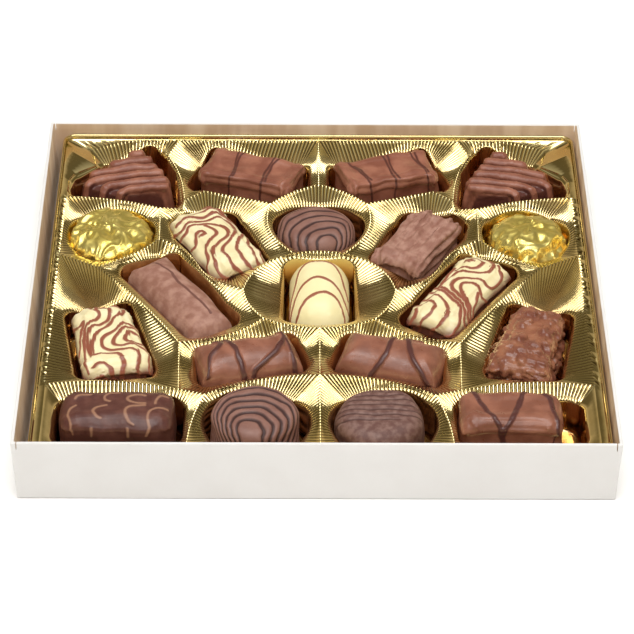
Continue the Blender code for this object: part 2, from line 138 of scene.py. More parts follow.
class Nodes:
    """A node tree, all of whose nodes are added by one method."""

    def __init__(self, tree: bpy.types.NodeTree) -> None:
        """Wrap a tree."""
        self.tree = tree

    def node(self, kind: str, settings: dict | None = None, sockets: dict | None = None,
             output: str | int = 0) -> Value:
        """Add a node.

        Args:
            kind: The node's type.
            settings: Its properties, set before its sockets; "stops" fills a colour ramp.
            sockets: Its inputs by name or place, each a constant or a Value.
            output: The output that is returned.

        Returns:
            That output, as a Value.
        """
        added = self.tree.nodes.new(kind)
        for key, setting in (settings or {}).items():
            if key == "stops":
                self.fill_ramp(added.color_ramp, setting)
            else:
                setattr(added, key, setting)
        for key, given in (sockets or {}).items():
            self.feed(added.inputs[key], given)
        return Value(self, added.outputs[output])

    def feed(self, socket: bpy.types.NodeSocket, given: Value | float | Sequence[float]) -> None:
        """Link a Value to a socket, or set a constant on it."""
        if isinstance(given, Value):
            self.tree.links.new(given.socket, socket)
        elif socket.type == "RGBA":
            socket.default_value = (*given, 1.0)
        else:
            socket.default_value = given

    @staticmethod
    def fill_ramp(ramp: bpy.types.ColorRamp, stops: Sequence[tuple[float, Colour]]) -> None:
        """Give a colour ramp its stops, each a place and a colour."""
        while len(ramp.elements) < len(stops):
            ramp.elements.new(1.0)
        for element, (place, colour) in zip(ramp.elements, stops):
            element.position = place
            element.color = (*colour, 1.0)


class Graph(Nodes):
    """A material's node tree, with its Principled shader."""

    def __init__(self, name: str) -> None:
        """Make a new material of that name."""
        self.material = bpy.data.materials.new(name)
        self.material.use_nodes = True
        super().__init__(self.material.node_tree)
        self.shader = self.tree.nodes["Principled BSDF"]

    def place(self) -> Value:
        """Return the object coordinates."""
        return self.node("ShaderNodeTexCoord", output="Object")

    def height(self) -> Value:
        """Return the height over the object's origin, in millimetres."""
        return self.node("ShaderNodeSeparateXYZ", None, {0: self.place()}, "Z") * (1 / MM)

    def attribute(self, name: str) -> Value:
        """Return a number that the mesh holds under that name."""
        return self.node("ShaderNodeAttribute", {"attribute_name": name}, output="Fac")

    def noise(self, cloud: Cloud) -> Value:
        """Return a cloud's noise over the object coordinates, not eased yet."""
        where = self.place()
        if cloud.stretch:
            where = self.node("ShaderNodeMapping", None, {"Vector": where, "Scale": cloud.stretch})
        sockets = {"Vector": where, "Scale": cloud.scale, "Detail": cloud.detail}
        return self.node("ShaderNodeTexNoise", None, sockets)

    def eased(self, cloud: Cloud) -> Value:
        """Return a cloud's eased noise."""
        return self.noise(cloud).step(cloud.low, cloud.high)

    def mix(self, share: Value | float, first: Value | Colour, second: Value | Colour) -> Value:
        """Mix two colours.

        Args:
            share: How much of the second shows.
            first: A colour.
            second: Another colour.

        Returns:
            The mixed colour.
        """
        return self.node("ShaderNodeMix", {"data_type": "RGBA"}, {0: share, 6: first, 7: second}, 2)

    def set(self, **sockets: Value | float | Colour) -> None:
        """Feed the shader's own sockets, named in lower case with _ for a space."""
        for name, given in sockets.items():
            self.feed(self.shader.inputs[name.replace("_", " ").title()], given)


# ------------------------------------------------------------------ finishes

@dataclass(frozen=True)
class Surface:
    """How a skin shines: its roughness, and the fine unevenness of its bump."""

    rough: float                     # at its glossiest
    more_rough: float                # where the sheen is 1
    sheen: Cloud
    grain: Cloud
    grain_height: float              # in metres
    metallic: float = 0.0

    def dress(self, graph: Graph, colour: Value) -> bpy.types.Material:
        """Finish a material with this surface.

        Args:
            graph: The material's nodes.
            colour: Its colour.

        Returns:
            The material.
        """
        graph.set(base_color=colour, metallic=self.metallic,
                  roughness=graph.eased(self.sheen) * self.more_rough + self.rough)
        sockets = {"Height": graph.noise(self.grain), "Distance": self.grain_height}
        graph.set(normal=graph.node("ShaderNodeBump", None, sockets))
        return graph.material


@dataclass(frozen=True)
class CardFinish:
    """Card with a white coat outside, and a bare, grained side inside that is painted tan as the gold
    tray's reflection and shade.
    """

    white: Colour = (0.745, 0.740, 0.738)
    worn: Colour = (0.72, 0.712, 0.708)
    mottle: Cloud = Cloud(60.0, 4.0, 0.35, 0.75)
    # painted gold reflection and shade on the walls' inner sides
    tan: Colour = (0.60, 0.43, 0.29)
    pale_reflected_tan: Colour = (0.78, 0.63, 0.48)
    fibre: Cloud = Cloud(110.0, 3.0, 0.35, 0.7, (1.0, 1.0, 0.25))
    surface: Surface = Surface(0.42, 0.12, Cloud(300.0, 2.0, 0.2, 0.8), Cloud(900.0, 3.0), 0.00002)

    def material(self) -> bpy.types.Material:
        """Make the card's material."""
        graph = Graph("white_card")
        outer = graph.mix(graph.eased(self.mottle), self.white, self.worn)
        # the inner sides: painted gold reflection and shade
        inner = graph.mix(graph.eased(self.fibre), self.tan, self.pale_reflected_tan)
        return self.surface.dress(graph, graph.mix(graph.attribute("bare_card"), outer, inner))


@dataclass(frozen=True)
class GoldFinish:
    """Thin plastic sheet with a mirror gold coat, with painted shade between its ribs and deep in its
    wells.
    """

    gold: Colour = (0.94, 0.80, 0.42)
    deep: Colour = (0.88, 0.71, 0.32)
    tone: Cloud = Cloud(35.0, 2.0, 0.3, 0.7)
    # painted shade in the valleys between the ribs
    valley_shade: Colour = (0.28, 0.185, 0.065)
    valley_shade_lifts: tuple[float, float] = (0.25, -0.75)    # where the painted valley shade starts and is full
    valley_shade_share: float = 0.85
    # painted shade deep in the wells
    shade: Colour = (0.70, 0.47, 0.22)
    shade_heights: tuple[float, float] = (17.5, 11.0)    # where the shade starts and is full
    surface: Surface = Surface(0.09, 0.05, Cloud(120.0, 3.0, 0.3, 0.8), Cloud(160.0, 2.0), 0.00005, 1.0)

    def material(self) -> bpy.types.Material:
        """Make the sheet's material."""
        graph = Graph("gold_sheet")
        coat = graph.mix(graph.eased(self.tone), self.gold, self.deep)
        # painted shade between the ribs, from each point's rib lift
        rib_shade = graph.attribute("rib_lift").step(*self.valley_shade_lifts) * self.valley_shade_share
        ribbed = graph.mix(rib_shade, coat, self.valley_shade)
        # painted shade deep in the wells, by height
        shaded = graph.mix(graph.height().step(*self.shade_heights), ribbed, self.shade)
        return self.surface.dress(graph, shaded)


@dataclass(frozen=True)
class FloorFinish:
    """Pale studio floor."""

    pale: Colour = (0.96, 0.96, 0.96)
    rough: float = 0.9

    def material(self) -> bpy.types.Material:
        """Make the floor's material."""
        graph = Graph("pale_floor")
        graph.set(base_color=self.pale, roughness=self.rough)
        return graph.material


# ------------------------------------------------------------------ modelling by hand

def deselect_all() -> None:
    """Leave nothing selected."""
    bpy.ops.object.select_all(action="DESELECT")


def take(item: bpy.types.Object) -> bpy.types.Object:
    """Select one object alone and make it the active one."""
    deselect_all()
    item.select_set(True)
    bpy.context.view_layer.objects.active = item
    return item


@contextmanager
def editing(item: bpy.types.Object, kind: Kind, wanted: Callable[..., bool]) -> Iterator[None]:
    """Work on some elements of an object in edit mode.

    Args:
        item: The object.
        kind: What its elements are.
        wanted: Says whether an element is to be selected.
    """
    take(item)
    bpy.ops.object.mode_set(mode="EDIT")
    bpy.ops.mesh.select_mode(type=kind.name)
    bpy.ops.mesh.select_all(action="DESELECT")
    bm = bmesh.from_edit_mesh(item.data)
    for element in getattr(bm, kind.value):
        element.select_set(wanted(element))
    bm.select_flush(True)
    bmesh.update_edit_mesh(item.data)
    yield
    bpy.ops.object.mode_set(mode="OBJECT")


def applied(item: bpy.types.Object, kind: str, **settings: object) -> None:
    """Give an object a modifier and apply it.

    Args:
        item: The object.
        kind: The modifier's type.
        settings: The modifier's properties.
    """
    take(item)
    modifier = item.modifiers.new(kind.lower(), kind)
    for key, setting in settings.items():
        setattr(modifier, key, setting)
    bpy.ops.object.modifier_apply(modifier=modifier.name)


def joined(base: bpy.types.Object, others: Sequence[bpy.types.Object]) -> None:
    """Join some objects to a base."""
    deselect_all()
    for item in (*others, base):
        item.select_set(True)
    bpy.context.view_layer.objects.active = base
    bpy.ops.object.join()


def linked(name: str, data: bpy.types.ID) -> bpy.types.Object:
    """Put a mesh or a curve into the scene as an object of that name."""
    item = bpy.data.objects.new(name, data)
    bpy.context.scene.collection.objects.link(item)
    return item


def store(mesh: bpy.types.Mesh, name: str, domain: str, values: Sequence[float]) -> None:
    """Store a number for each POINT or FACE of a mesh, which its material reads by that name."""
    mesh.attributes.new(name, "FLOAT", domain).data.foreach_set("value", values)


# ------------------------------------------------------------------ carton

@dataclass
class Carton:
    """The open carton: a floor and four folded walls, the side ones leaning out a little."""

    card: float = 0.6
    lean: float = 1.3
    fold: float = 0.35
    slit: tuple[float, float, float] = (0.32, 3.0, 6.0)
    slit_inset: float = 0.8          # from the wall's inner side
    far: float = 50.0                # less than from an inner side to the carton's middle
    finish: CardFinish = CardFinish()

    def build(self) -> bpy.types.Object:
        """Model the carton by insetting a block's top, pushing it down and easing its folds."""
        low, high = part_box("carton")
        size = high - low
        deselect_all()
        bpy.ops.mesh.primitive_cube_add(size=1.0, location=(low + high) / 2, scale=size)
        carton = bpy.context.active_object
        carton.name = "folded_carton"
        bpy.ops.object.transform_apply(location=True, rotation=True, scale=True)
        wall = 2 * self.card * MM
        with editing(carton, Kind.FACE, lambda face: face.normal.z > 0.9):
            bpy.ops.mesh.inset(thickness=wall, depth=0.0)
            bpy.ops.mesh.extrude_region_move(
                TRANSFORM_OT_translate={"value": (0.0, 0.0, self.card * MM - size.z)})
        self.lean_out(carton, low, high)
        with editing(carton, Kind.EDGE, lambda edge: edge.calc_face_angle(0.0) > 1.0):
            bpy.ops.mesh.bevel(offset=self.fold * MM, segments=3)
        self.cut_slits(carton, high)
        self.settle(carton, (low + high) / 2)
        carton.data.materials.clear()
        carton.data.materials.append(self.finish.material())
        return carton

    def lean_out(self, carton: bpy.types.Object, low: Vector, high: Vector) -> None:
        """Bring the side walls' feet in, because only their tops reach the full width."""
        middle = (low.x + high.x) / 2
        for vert in carton.data.vertices:
            share = 1 - (vert.co.z - low.z) / (high.z - low.z)
            vert.co.x -= math.copysign(self.lean * MM * share, vert.co.x - middle)

    def cut_slits(self, carton: bpy.types.Object, high: Vector) -> None:
        """Cut the slit beside each end of the side walls, down to half the cutter's height."""
        for side in (-1, 1):
            for end in (-1, 1):
                deselect_all()
                spot = (side * (high.x - (2 * self.card + self.slit_inset) * MM),
                        end * (high.y - self.card * MM), high.z)
                bpy.ops.mesh.primitive_cube_add(
                    size=1.0, location=spot, scale=tuple(side_length * MM for side_length in self.slit))
                cutter = bpy.context.active_object
                applied(carton, "BOOLEAN", operation="DIFFERENCE", solver="EXACT", object=cutter)
                bpy.data.objects.remove(cutter)

    def settle(self, carton: bpy.types.Object, middle: Vector) -> None:
        """Shade the carton smooth between its folds, and mark the walls' bare inner sides, which are
        painted tan as reflection and shade.
        """
        take(carton)
        bpy.ops.object.shade_smooth_by_angle(angle=math.radians(25.0))
        inner_wall_faces = [float(abs(side.normal.z) < 0.5 and side.normal.dot(middle - side.center) > self.far * MM)
                for side in carton.data.polygons]
        store(carton.data, "bare_card", "FACE", inner_wall_faces)


# ------------------------------------------------------------------ gold tray

# Corners of the tray's crest lines on its left half, in millimetres from its middle. V and SW
# lie on the border, and so do W, S and N with a number; the others lie between pockets.
CORNERS = {
    "W1": (-98.8, 59.3), "W2": (-98.8, 71.5), "W3": (-96.5, 76.2), "V": (-88.6, 82.0),
    "N1": (-91.2, 92.0), "N2": (-73.0, 100.4), "N3": (-56.0, 100.4), "N4": (0.0, 100.4),
    "W4": (-98.8, 19.5), "W5": (-98.8, -63.0), "SW": (-98.8, -100.0),
    "S1": (-47.0, -100.0), "S2": (0.0, -100.0),
    "X": (-60.0, 89.1), "A": (-61.8, 51.5), "B": (-53.2, 50.5), "C": (-52.5, 57.5), "D": (-45.0, 63.7),
    "E": (-18.8, 55.0), "F": (0.0, 68.5), "G": (-9.5, 20.5), "H": (-28.6, -3.0),
    "I": (-46.0, 12.5), "J": (-61.3, 30.0), "K": (-83.8, 11.0), "L": (-21.0, -21.5),
    "M": (-51.5, -37.0), "N": (-50.8, -65.8), "O": (0.0, -28.0), "P": (0.0, -57.0),
    "Q": (-41.3, -68.8),
}

# Crest lines that are arcs: how far each swings out to the left of its way
SWINGS = {
    ("W1", "A"): 1.9, ("C", "X"): -1.6, ("E", "F"): 1.6, ("E", "G"): -4.8,
    ("G", "H"): -4.3, ("H", "I"): 3.1, ("I", "J"): -2.3, ("H", "L"): -1.5, ("J", "K"): 1.5,
    ("K", "M"): 1.5, ("L", "M"): 3.8, ("L", "O"): -1.5, ("W5", "N"): 3.2, ("Q", "P"): 3.2,
    ("Q", "S1"): -1.3, ("N2", "N1"): -1.3, ("G", "G'"): 1.6,
}

# Crest lines without ribs
PLAIN = {("N1", "V"), ("V", "W3"), ("W3", "W2"), ("W2", "W1"), ("SW", "S1"), ("S1", "S2"), ("W5", "SW")}

# One rib's profile, a round back and a narrow valley: places along its pitch, and heights there
PROFILE = ((0.0, 1.0), (0.22, 0.45), (0.44, -0.9), (0.56, -0.9), (0.78, 0.45))


@dataclass(frozen=True)
class Pocket:
    """One pocket: its crest corners, counter-clockwise, and its well.

    A dash marks a right-hand corner. The well is the outline that a disc rolls round some
    middle points, and the ribs run out from a spine along that share of the well's length.
    """

    crest: tuple[str, ...]
    middles: tuple[tuple[float, float], ...]
    radius: float
    spine: float = 0.6


POCKETS = (
    Pocket(("W1", "A", "B", "C", "X", "N3", "N2", "N1", "V", "W3", "W2"),
           ((-93.0, 66.0), (-59.0, 58.5), (-60.9, 77.0), (-67.8, 94.4), (-92.0, 71.5)), 5.0, 0.1),
    Pocket(("N3", "X", "C", "D", "E", "F", "N4"),
           ((-47.6, 71.5), (-19.5, 62.0), (-7.6, 70.5), (-7.6, 83.0), (-40.8, 94.8)), 4.0),
    Pocket(("W4", "K", "J", "A", "W1"), ((-79.8, 37.0),), 17.3),
    Pocket(("J", "I", "H", "G", "E", "D", "C", "B", "A"),
           ((-26.4, 20.8), (-37.2, 47.8), (-51.2, 43.4), (-38.9, 14.4)), 6.8),
    Pocket(("G", "G'", "E'", "F", "E"), ((-1.0, 42.0), (1.0, 42.0)), 17.3),
    Pocket(("K", "M", "L", "H", "I", "J"),
           ((-46.5, -25.2), (-35.0, -17.5), (-57.2, 18.5), (-70.0, 11.5)), 5.5, 0.9),
    Pocket(("G", "H", "L", "O", "L'", "H'", "G'"),
           ((-7.8, -15.5), (7.8, -15.5), (7.8, 13.6), (-7.8, 13.6)), 6.0, 0.3),
    Pocket(("W4", "W5", "N", "M", "K"),
           ((-89.0, -17.5), (-82.0, -52.0), (-66.0, -48.5), (-75.0, -14.0)), 6.0, 0.8),
    Pocket(("M", "N", "Q", "P", "O", "L"),
           ((-40.0, -54.2), (-9.0, -47.0), (-12.2, -33.2), (-41.2, -41.6)), 5.0, 0.8),
    Pocket(("W5", "SW", "S1", "Q", "N"),
           ((-87.5, -89.5), (-55.0, -89.5), (-55.0, -74.0), (-87.5, -74.0)), 7.0, 0.8),
    Pocket(("Q", "S1", "S2", "P"), ((-24.4, -80.8), (-20.8, -80.8)), 17.6),
)


def distances(points: np.ndarray, line: np.ndarray) -> np.ndarray:
    """Return how far each point is from a closed line.

    Args:
        points: Flat points, one to a row.
        line: The line's corners, one to a row.

    Returns:
        The distances.
    """
    if len(line) == 1:
        return np.linalg.norm(points - line[0], axis=1)
    nearest = np.full(len(points), np.inf)
    for a, b in zip(line, np.roll(line, -1, axis=0)):
        way = b - a
        share = np.clip((points - a) @ way / max(way @ way, 1e-9), 0.0, 1.0)
        nearest = np.minimum(nearest, np.linalg.norm(points - a - share[:, None] * way, axis=1))
    return nearest


def inside(points: np.ndarray, outline: np.ndarray) -> np.ndarray:
    """Say which points lie inside a convex outline that runs counter-clockwise."""
    held = np.full(len(points), len(outline) > 2)
    for a, b in zip(outline, np.roll(outline, -1, axis=0)):
        way, off = b - a, points - a
        held &= way[0] * off[:, 1] - way[1] * off[:, 0] > 0
    return held


@dataclass
class GoldTray:
    """The thin formed tray: twenty ribbed pockets, a raised bead round them and a skirt."""

    crest: float = 2.0               # below the bead's top
    skin: float = 0.5
    side: float = 205.0
    corner: float = 5.0
    corner_steps: int = 12
    rim_step: float = 3.0            # the longest piece of the rim's outline
    pitch: float = 1.42
    more_pitch: float = 0.28         # on a line that runs from front to back
    rib: float = 0.34                # half a rib's height
    more_rib: float = 0.10           # on a line that runs from front to back
    crest_half: float = 0.35         # half the crest's width
    crest_drop: float = 0.12         # from the crest's middle to its side
    border_shares: tuple[float, ...] = (0.0, 0.33, 0.66)
    lips: tuple[float, float] = (0.3, 1.3)    # the least and greatest width of a well's rounded lip
    lip_share: float = 0.35
    lip_steps: tuple[float, ...] = (0.0, 0.3, 0.55, 0.75, 0.9, 1.0)
    rib_loss: float = 0.9            # how much of a rib's height is lost down the lip
    tight: float = 0.15              # the least share of their pitch that ribs are squeezed to
    sink: float = 0.5                # how far the wall lies inside the well's edge
    steepest: float = 1.25           # the lip's turn into the wall, in radians
    slope: float = 0.40
    least_fall: float = 0.6
    draft: float = 0.9
    # The foot of a well's wall: how much further in each ring is, and how high over the floor
    foot: tuple[tuple[float, float], ...] = ((0.0, 1.2), (0.3, 0.3), (1.3, 0.0))
    lift_shares: tuple[float, ...] = (1, 1, 1, 1, 0.9, 0.7, 0.4, 0.2, 0)    # rib_lift, from ring to ring
    halvings: int = 24               # in the search for a well's edge
    rim: tuple[tuple[float, float], ...] = (
        (1.6, 2.0), (1.5, 1.7), (1.4, 1.0), (1.2, 0.3), (0.95, 0.05), (0.65, 0.05), (0.35, 0.3),
        (0.15, 0.9),
        (0.05, 2.0), (0.0, 5.5))
    finish: GoldFinish = GoldFinish()
    points: list[tuple[float, float, float]] = field(default_factory=list)
    faces: list[Sequence[int]] = field(default_factory=list)
    shared: dict[tuple[float, float], int] = field(default_factory=dict)
    crest_steps: set[tuple[int, int]] = field(default_factory=set)
    lifts: dict[int, float] = field(default_factory=dict)

    def corner_point(self, name: str) -> np.ndarray:
        """Return a crest corner; a dash mirrors a left-hand one."""
        u, v = CORNERS[name.rstrip("'")]
        return np.array((-u if name.endswith("'") else u, v))

    def swing(self, start: str, end: str) -> float:
        """Return how far the crest between two corners swings to the left of its way."""
        plain = (start.rstrip("'"), end.rstrip("'"))
        turned = -1 if "'" in start + end and (start, end) not in SWINGS else 1
        for key, sign in (((start, end), 1), ((end, start), -1), (plain, turned), (plain[::-1], -turned)):
            if key in SWINGS:
                return sign * SWINGS[key]
        return 0.0

    def ribbed_line(self, start: str, end: str) -> np.ndarray:
        """Return a crest line's points and how its ribs lift them.

        Args:
            start: The first corner.
            end: The last corner, whose own point is left out.

        Returns:
            Rows of x, y and a lift in millimetres that starts on a rib's top.
        """
        first, last = self.corner_point(start), self.corner_point(end)
        chord = last - first
        length = np.linalg.norm(chord)
        across = np.array((-chord[1], chord[0])) / length
        pitch = self.pitch + self.more_pitch * abs(chord[1]) / length
        ribs = max(2, round(length / pitch))
        places, heights = np.array(PROFILE).T
        share = (np.arange(ribs)[:, None] + places).ravel() / ribs
        bulge = self.swing(start, end) * 4 * share * (1 - share)
        line = first + share[:, None] * chord + bulge[:, None] * across
        plain = (start, end) in PLAIN or (end, start) in PLAIN
        strength = 0.0 if plain else self.rib + self.more_rib * abs(chord[1]) / length
        return np.column_stack((line, strength * np.tile(heights, ribs)))

    def crest_ring(self, corners: Sequence[str]) -> np.ndarray:
        """Return a pocket's whole crest."""
        ends = tuple(corners[1:]) + (corners[0],)
        return np.vstack([self.ribbed_line(a, b) for a, b in zip(corners, ends)])

    def add_ring(self, flat: np.ndarray, heights: np.ndarray | float) -> list[int]:
        """Add a ring of points and return their numbers."""
        first = len(self.points)
        self.points.extend(map(tuple, np.column_stack((flat, np.broadcast_to(heights, len(flat))))))
        return list(range(first, len(self.points)))

    def add_crest(self, flat: np.ndarray, heights: np.ndarray) -> list[int]:
        """Add a pocket's crest, whose points neighbouring pockets share, and return its numbers."""
        ring = []
        for (u, v), height in zip(flat, heights):
            key = (round(u, 2) + 0.0, round(v, 2) + 0.0)
            if key not in self.shared:
                self.shared[key] = len(self.points)
                self.points.append((u, v, height))
            ring.append(self.shared[key])
        self.crest_steps.update(zip(ring, ring[1:] + ring[:1]))
        return ring

    def bridge(self, outer: Sequence[int], inner: Sequence[int]) -> None:
        """Join two rings of equal count, facing up."""
        size = len(outer)
        for k in range(size):
            after = (k + 1) % size
            self.faces.append((outer[k], outer[after], inner[after], inner[k]))

    @staticmethod
    def spacing(ring: np.ndarray) -> np.ndarray:
        """Return how far apart each point's neighbours on a ring are."""
        return np.linalg.norm(np.roll(ring, -1, axis=0) - np.roll(ring, 1, axis=0), axis=1)

    def well_edge(self, crest: np.ndarray, middles: np.ndarray, pocket: Pocket,
                  grow: np.ndarray | float) -> np.ndarray:
        """Follow each rib from the crest in to the well's edge.

        Args:
            crest: The crest's flat points.
            middles: The middle points that the well's disc rolls round.
            pocket: The pocket.
            grow: How far outside the well's edge to stop.

        Returns:
            The flat points on the edge, one for each crest point.
        """
        hub = middles.mean(axis=0)
        spread = middles - hub
        axis = np.linalg.svd(spread)[2][0] if len(middles) > 1 else np.array((1.0, 0.0))
        reach = np.abs(spread @ axis).max() * pocket.spine
        hubs = hub + np.clip((crest - hub) @ axis, -reach, reach)[:, None] * axis
        low, high = np.zeros(len(crest)), np.ones(len(crest))
        for _ in range(self.halvings):
            middle = (low + high) / 2
            spot = hubs + (crest - hubs) * middle[:, None]
            gap = np.where(inside(spot, middles), 0.0, distances(spot, middles))
            within = gap < pocket.radius + grow
            low, high = np.where(within, middle, low), np.where(within, high, middle)
        return hubs + (crest - hubs) * low[:, None]

    def add_pocket(self, pocket: Pocket, crest: np.ndarray, middles: np.ndarray, top: float,
                   floor: float) -> None:
        """Add one pocket: its ribbed, sloping border, then its well's smooth wall and floor."""
        flat, wave = crest[:, :2], crest[:, 2]
        edge = self.well_edge(flat, middles, pocket, 0.0)
        run = np.linalg.norm(flat - edge, axis=1)
        fall = self.least_fall + self.slope * distances(edge, flat)
        squeeze = np.clip(self.spacing(edge) / self.spacing(flat), self.tight, 1.0)
        kept = self.rib_loss * squeeze
        lip = np.clip(self.lip_share * run, *self.lips)
        start = top - self.crest_drop
        rings = [self.add_crest(flat, top + wave)]
        self.lifts.update(zip(rings[0], wave / self.rib))
        for share in self.border_shares:
            reach = share * (run - lip) if share else self.crest_half
            along = np.clip(reach / np.maximum(run, 0.01), 0, 1)
            heights = start - fall * along + (1 - along * (1 - kept)) * wave
            rings.append(self.add_ring(flat + (edge - flat) * along[:, None], heights))
        round_lip = (lip + self.sink) / math.sin(self.steepest)
        for share in self.lip_steps:
            turned = share * (lip + self.sink)
            near = lip - turned
            depth = round_lip - np.sqrt(round_lip ** 2 - turned ** 2)
            spot = self.well_edge(flat, middles, pocket, np.minimum(near, run * 0.98))
            heights = (start - fall - depth + self.slope * np.clip(near, 0, None)
                       + kept * (1 - self.rib_loss * share) * wave)
            rings.append(self.add_ring(spot, heights))
        for ring, share in zip(rings[1:], self.lift_shares):
            self.lifts.update(zip(ring, wave / self.rib * share))
        for inward, height in self.foot:
            spot = self.well_edge(flat, middles, pocket, -self.draft - inward)
            rings.append(self.add_ring(spot, floor + height))
        for outer, inner in zip(rings, rings[1:]):
            self.bridge(outer, inner)
        self.faces.append(tuple(rings[-1]))

    def rim_outline(self, inset: float) -> np.ndarray:
        """Return the tray's rounded outline, that far inside its edge."""
        reach = self.side / 2 - self.corner
        outline = []
        for quarter, (u, v) in enumerate(((1, 1), (-1, 1), (-1, -1), (1, -1))):
            for k in range(self.corner_steps + 1):
                angle = math.pi / 2 * (quarter + k / self.corner_steps)
                outline.append((u * reach + (self.corner - inset) * math.cos(angle),
                                v * reach + (self.corner - inset) * math.sin(angle)))
        ring = []
        for a, b in zip(outline, outline[1:] + outline[:1]):
            steps = max(1, round(math.dist(a, b) / self.rim_step))
            ring.extend((a[0] + (b[0] - a[0]) * k / steps, a[1] + (b[1] - a[1]) * k / steps)
                        for k in range(steps))
        return np.array(ring)

    def zip_rings(self, outer: Sequence[int], inner: Sequence[int], points: np.ndarray) -> None:
        """Join two rings of different counts round the tray's middle, facing up."""
        def in_order(ring: Sequence[int]) -> tuple[list[int], list[float]]:
            angles = np.arctan2(points[list(ring), 1], points[list(ring), 0])
            order = np.argsort(angles)
            turned = [ring[k] for k in order]
            return turned, [*angles[order], angles[order[0]] + 2 * math.pi]

        outer, outer_angles = in_order(outer)
        inner, inner_angles = in_order(inner)
        i = j = 0
        while i < len(outer) or j < len(inner):
            a, b = outer[i % len(outer)], inner[j % len(inner)]
            if j == len(inner) or (i < len(outer) and outer_angles[i + 1] <= inner_angles[j + 1]):
                i += 1
                self.faces.append((a, outer[i % len(outer)], b))
            else:
                j += 1
                self.faces.append((a, inner[j % len(inner)], b))

    def build(self) -> bpy.types.Object:
        """Form the tray."""
        low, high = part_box("gold_tray")
        middle = (low + high) / 2
        bead = high.z / MM
        top, floor = bead - self.crest, low.z / MM + self.skin
        for pocket in POCKETS:
            crest, middles = self.crest_ring(pocket.crest), np.array(pocket.middles)
            self.add_pocket(pocket, crest, middles, top, floor)
            if not any("'" in corner for corner in pocket.crest):
                flip = np.array((-1.0, 1.0))
                turned = np.column_stack((crest[::-1, :2] * flip, crest[::-1, 2]))
                self.add_pocket(pocket, turned, middles[::-1] * flip, top, floor)
        border = sorted({a for a, b in self.crest_steps if (b, a) not in self.crest_steps})
        rings = [self.add_ring(self.rim_outline(inset), bead - drop) for inset, drop in self.rim]
        points = np.array(self.points)
        self.zip_rings(rings[0], border, points)
        for inner, outer in zip(rings, rings[1:]):
            self.bridge(outer, inner)
        points[:, :2] += (middle.x / MM, middle.y / MM)
        mesh = bpy.data.meshes.new("ribbed_tray")
        mesh.from_pydata([tuple(point) for point in points * MM], [], self.faces)
        mesh.shade_smooth()
        store(mesh, "rib_lift", "POINT", [self.lifts.get(number, 0.0) for number in range(len(points))])
        tray = linked("ribbed_tray", mesh)
        with editing(tray, Kind.VERT, lambda vert: True):
            bpy.ops.mesh.dissolve_degenerate(threshold=0.002 * MM)
        tray.data.materials.append(self.finish.material())
        return tray


# ------------------------------------------------------------------ sweets

@dataclass(frozen=True)
class ChocolateFinish:
    """Chocolate with lines of another colour, read from a sweet's line_gap attribute.

    line_gap holds each point's distance, in millimetres, from the nearest line. On the roped and grooved
    sweets the line colour is painted shade.
    """

    name: str
    slot: Slot
    body: Colour
    mottle: Colour
    line: Colour
    line_half: float = 0.6
    line_blur: float = 0.25
    foot: Colour | None = None       # of a sweet whose lower part has another colour
    foot_top: float = 5.5
    foot_blur: tuple[float, float] = (2.4, 2.0)    # above and below its top
    foot_waves: Cloud = Cloud(90.0)
    foot_swing: float = 5.0
    rough: float = 0.36
    grain_height: float = 0.00006
    mottle_scale: float = 140.0

    def material(self) -> bpy.types.Material:
        """Make the chocolate's material."""
        graph = Graph(self.name)
        colour = graph.mix(graph.eased(Cloud(self.mottle_scale, 5.0, 0.35, 0.7)), self.body, self.mottle)
        if self.foot:
            tide = graph.height() + (graph.noise(self.foot_waves) - 0.5) * self.foot_swing
            above, below = self.foot_blur
            colour = graph.mix(tide.step(self.foot_top + above, self.foot_top - below), colour, self.foot)
        marked = graph.attribute("line_gap").step(self.line_half + self.line_blur,
                                                  self.line_half - self.line_blur)
        surface = Surface(self.rough, 0.16, Cloud(400.0, 3.0, 0.25, 0.75), Cloud(700.0, 4.0),
                          self.grain_height)
        return surface.dress(graph, graph.mix(marked, colour, self.line))


# its line colour is also painted shade between the roped sweets' ropes
MILK = ChocolateFinish(
    "milk_coat", Slot.MILK, body=(0.215, 0.072, 0.044), mottle=(0.34, 0.135, 0.085),
    line=(0.09, 0.027, 0.020), line_half=0.45, rough=0.30)
DRIZZLED = ChocolateFinish(
    "drizzled_coat", Slot.MILK, body=(0.205, 0.075, 0.046), mottle=(0.31, 0.125, 0.078),
    line=(0.085, 0.028, 0.024), line_half=1.0, line_blur=0.35, rough=0.26)
# its line colour is painted shade in the arched sweets' grooves
DUSKY = ChocolateFinish(
    "dusky_coat", Slot.DUSKY, body=(0.205, 0.094, 0.072), mottle=(0.26, 0.13, 0.10),
    line=(0.050, 0.020, 0.018), line_half=0.62, line_blur=0.35, rough=0.45)
FEATHERED = ChocolateFinish(
    "feathered_coat", Slot.DUSKY, body=(0.085, 0.027, 0.021), mottle=(0.125, 0.045, 0.033),
    line=(0.30, 0.15, 0.09), line_half=0.5, line_blur=0.35, mottle_scale=260.0)
DUSTY = ChocolateFinish(
    "dusty_coat", Slot.PALE, body=(0.27, 0.122, 0.086), mottle=(0.41, 0.225, 0.17),
    line=(0.15, 0.06, 0.045), rough=0.55, mottle_scale=260.0)
NUTTY = ChocolateFinish(
    "nutty_coat", Slot.NUTTY, body=(0.18, 0.060, 0.037), mottle=(0.32, 0.13, 0.07),
    line=(0.12, 0.04, 0.03), rough=0.17, mottle_scale=190.0)
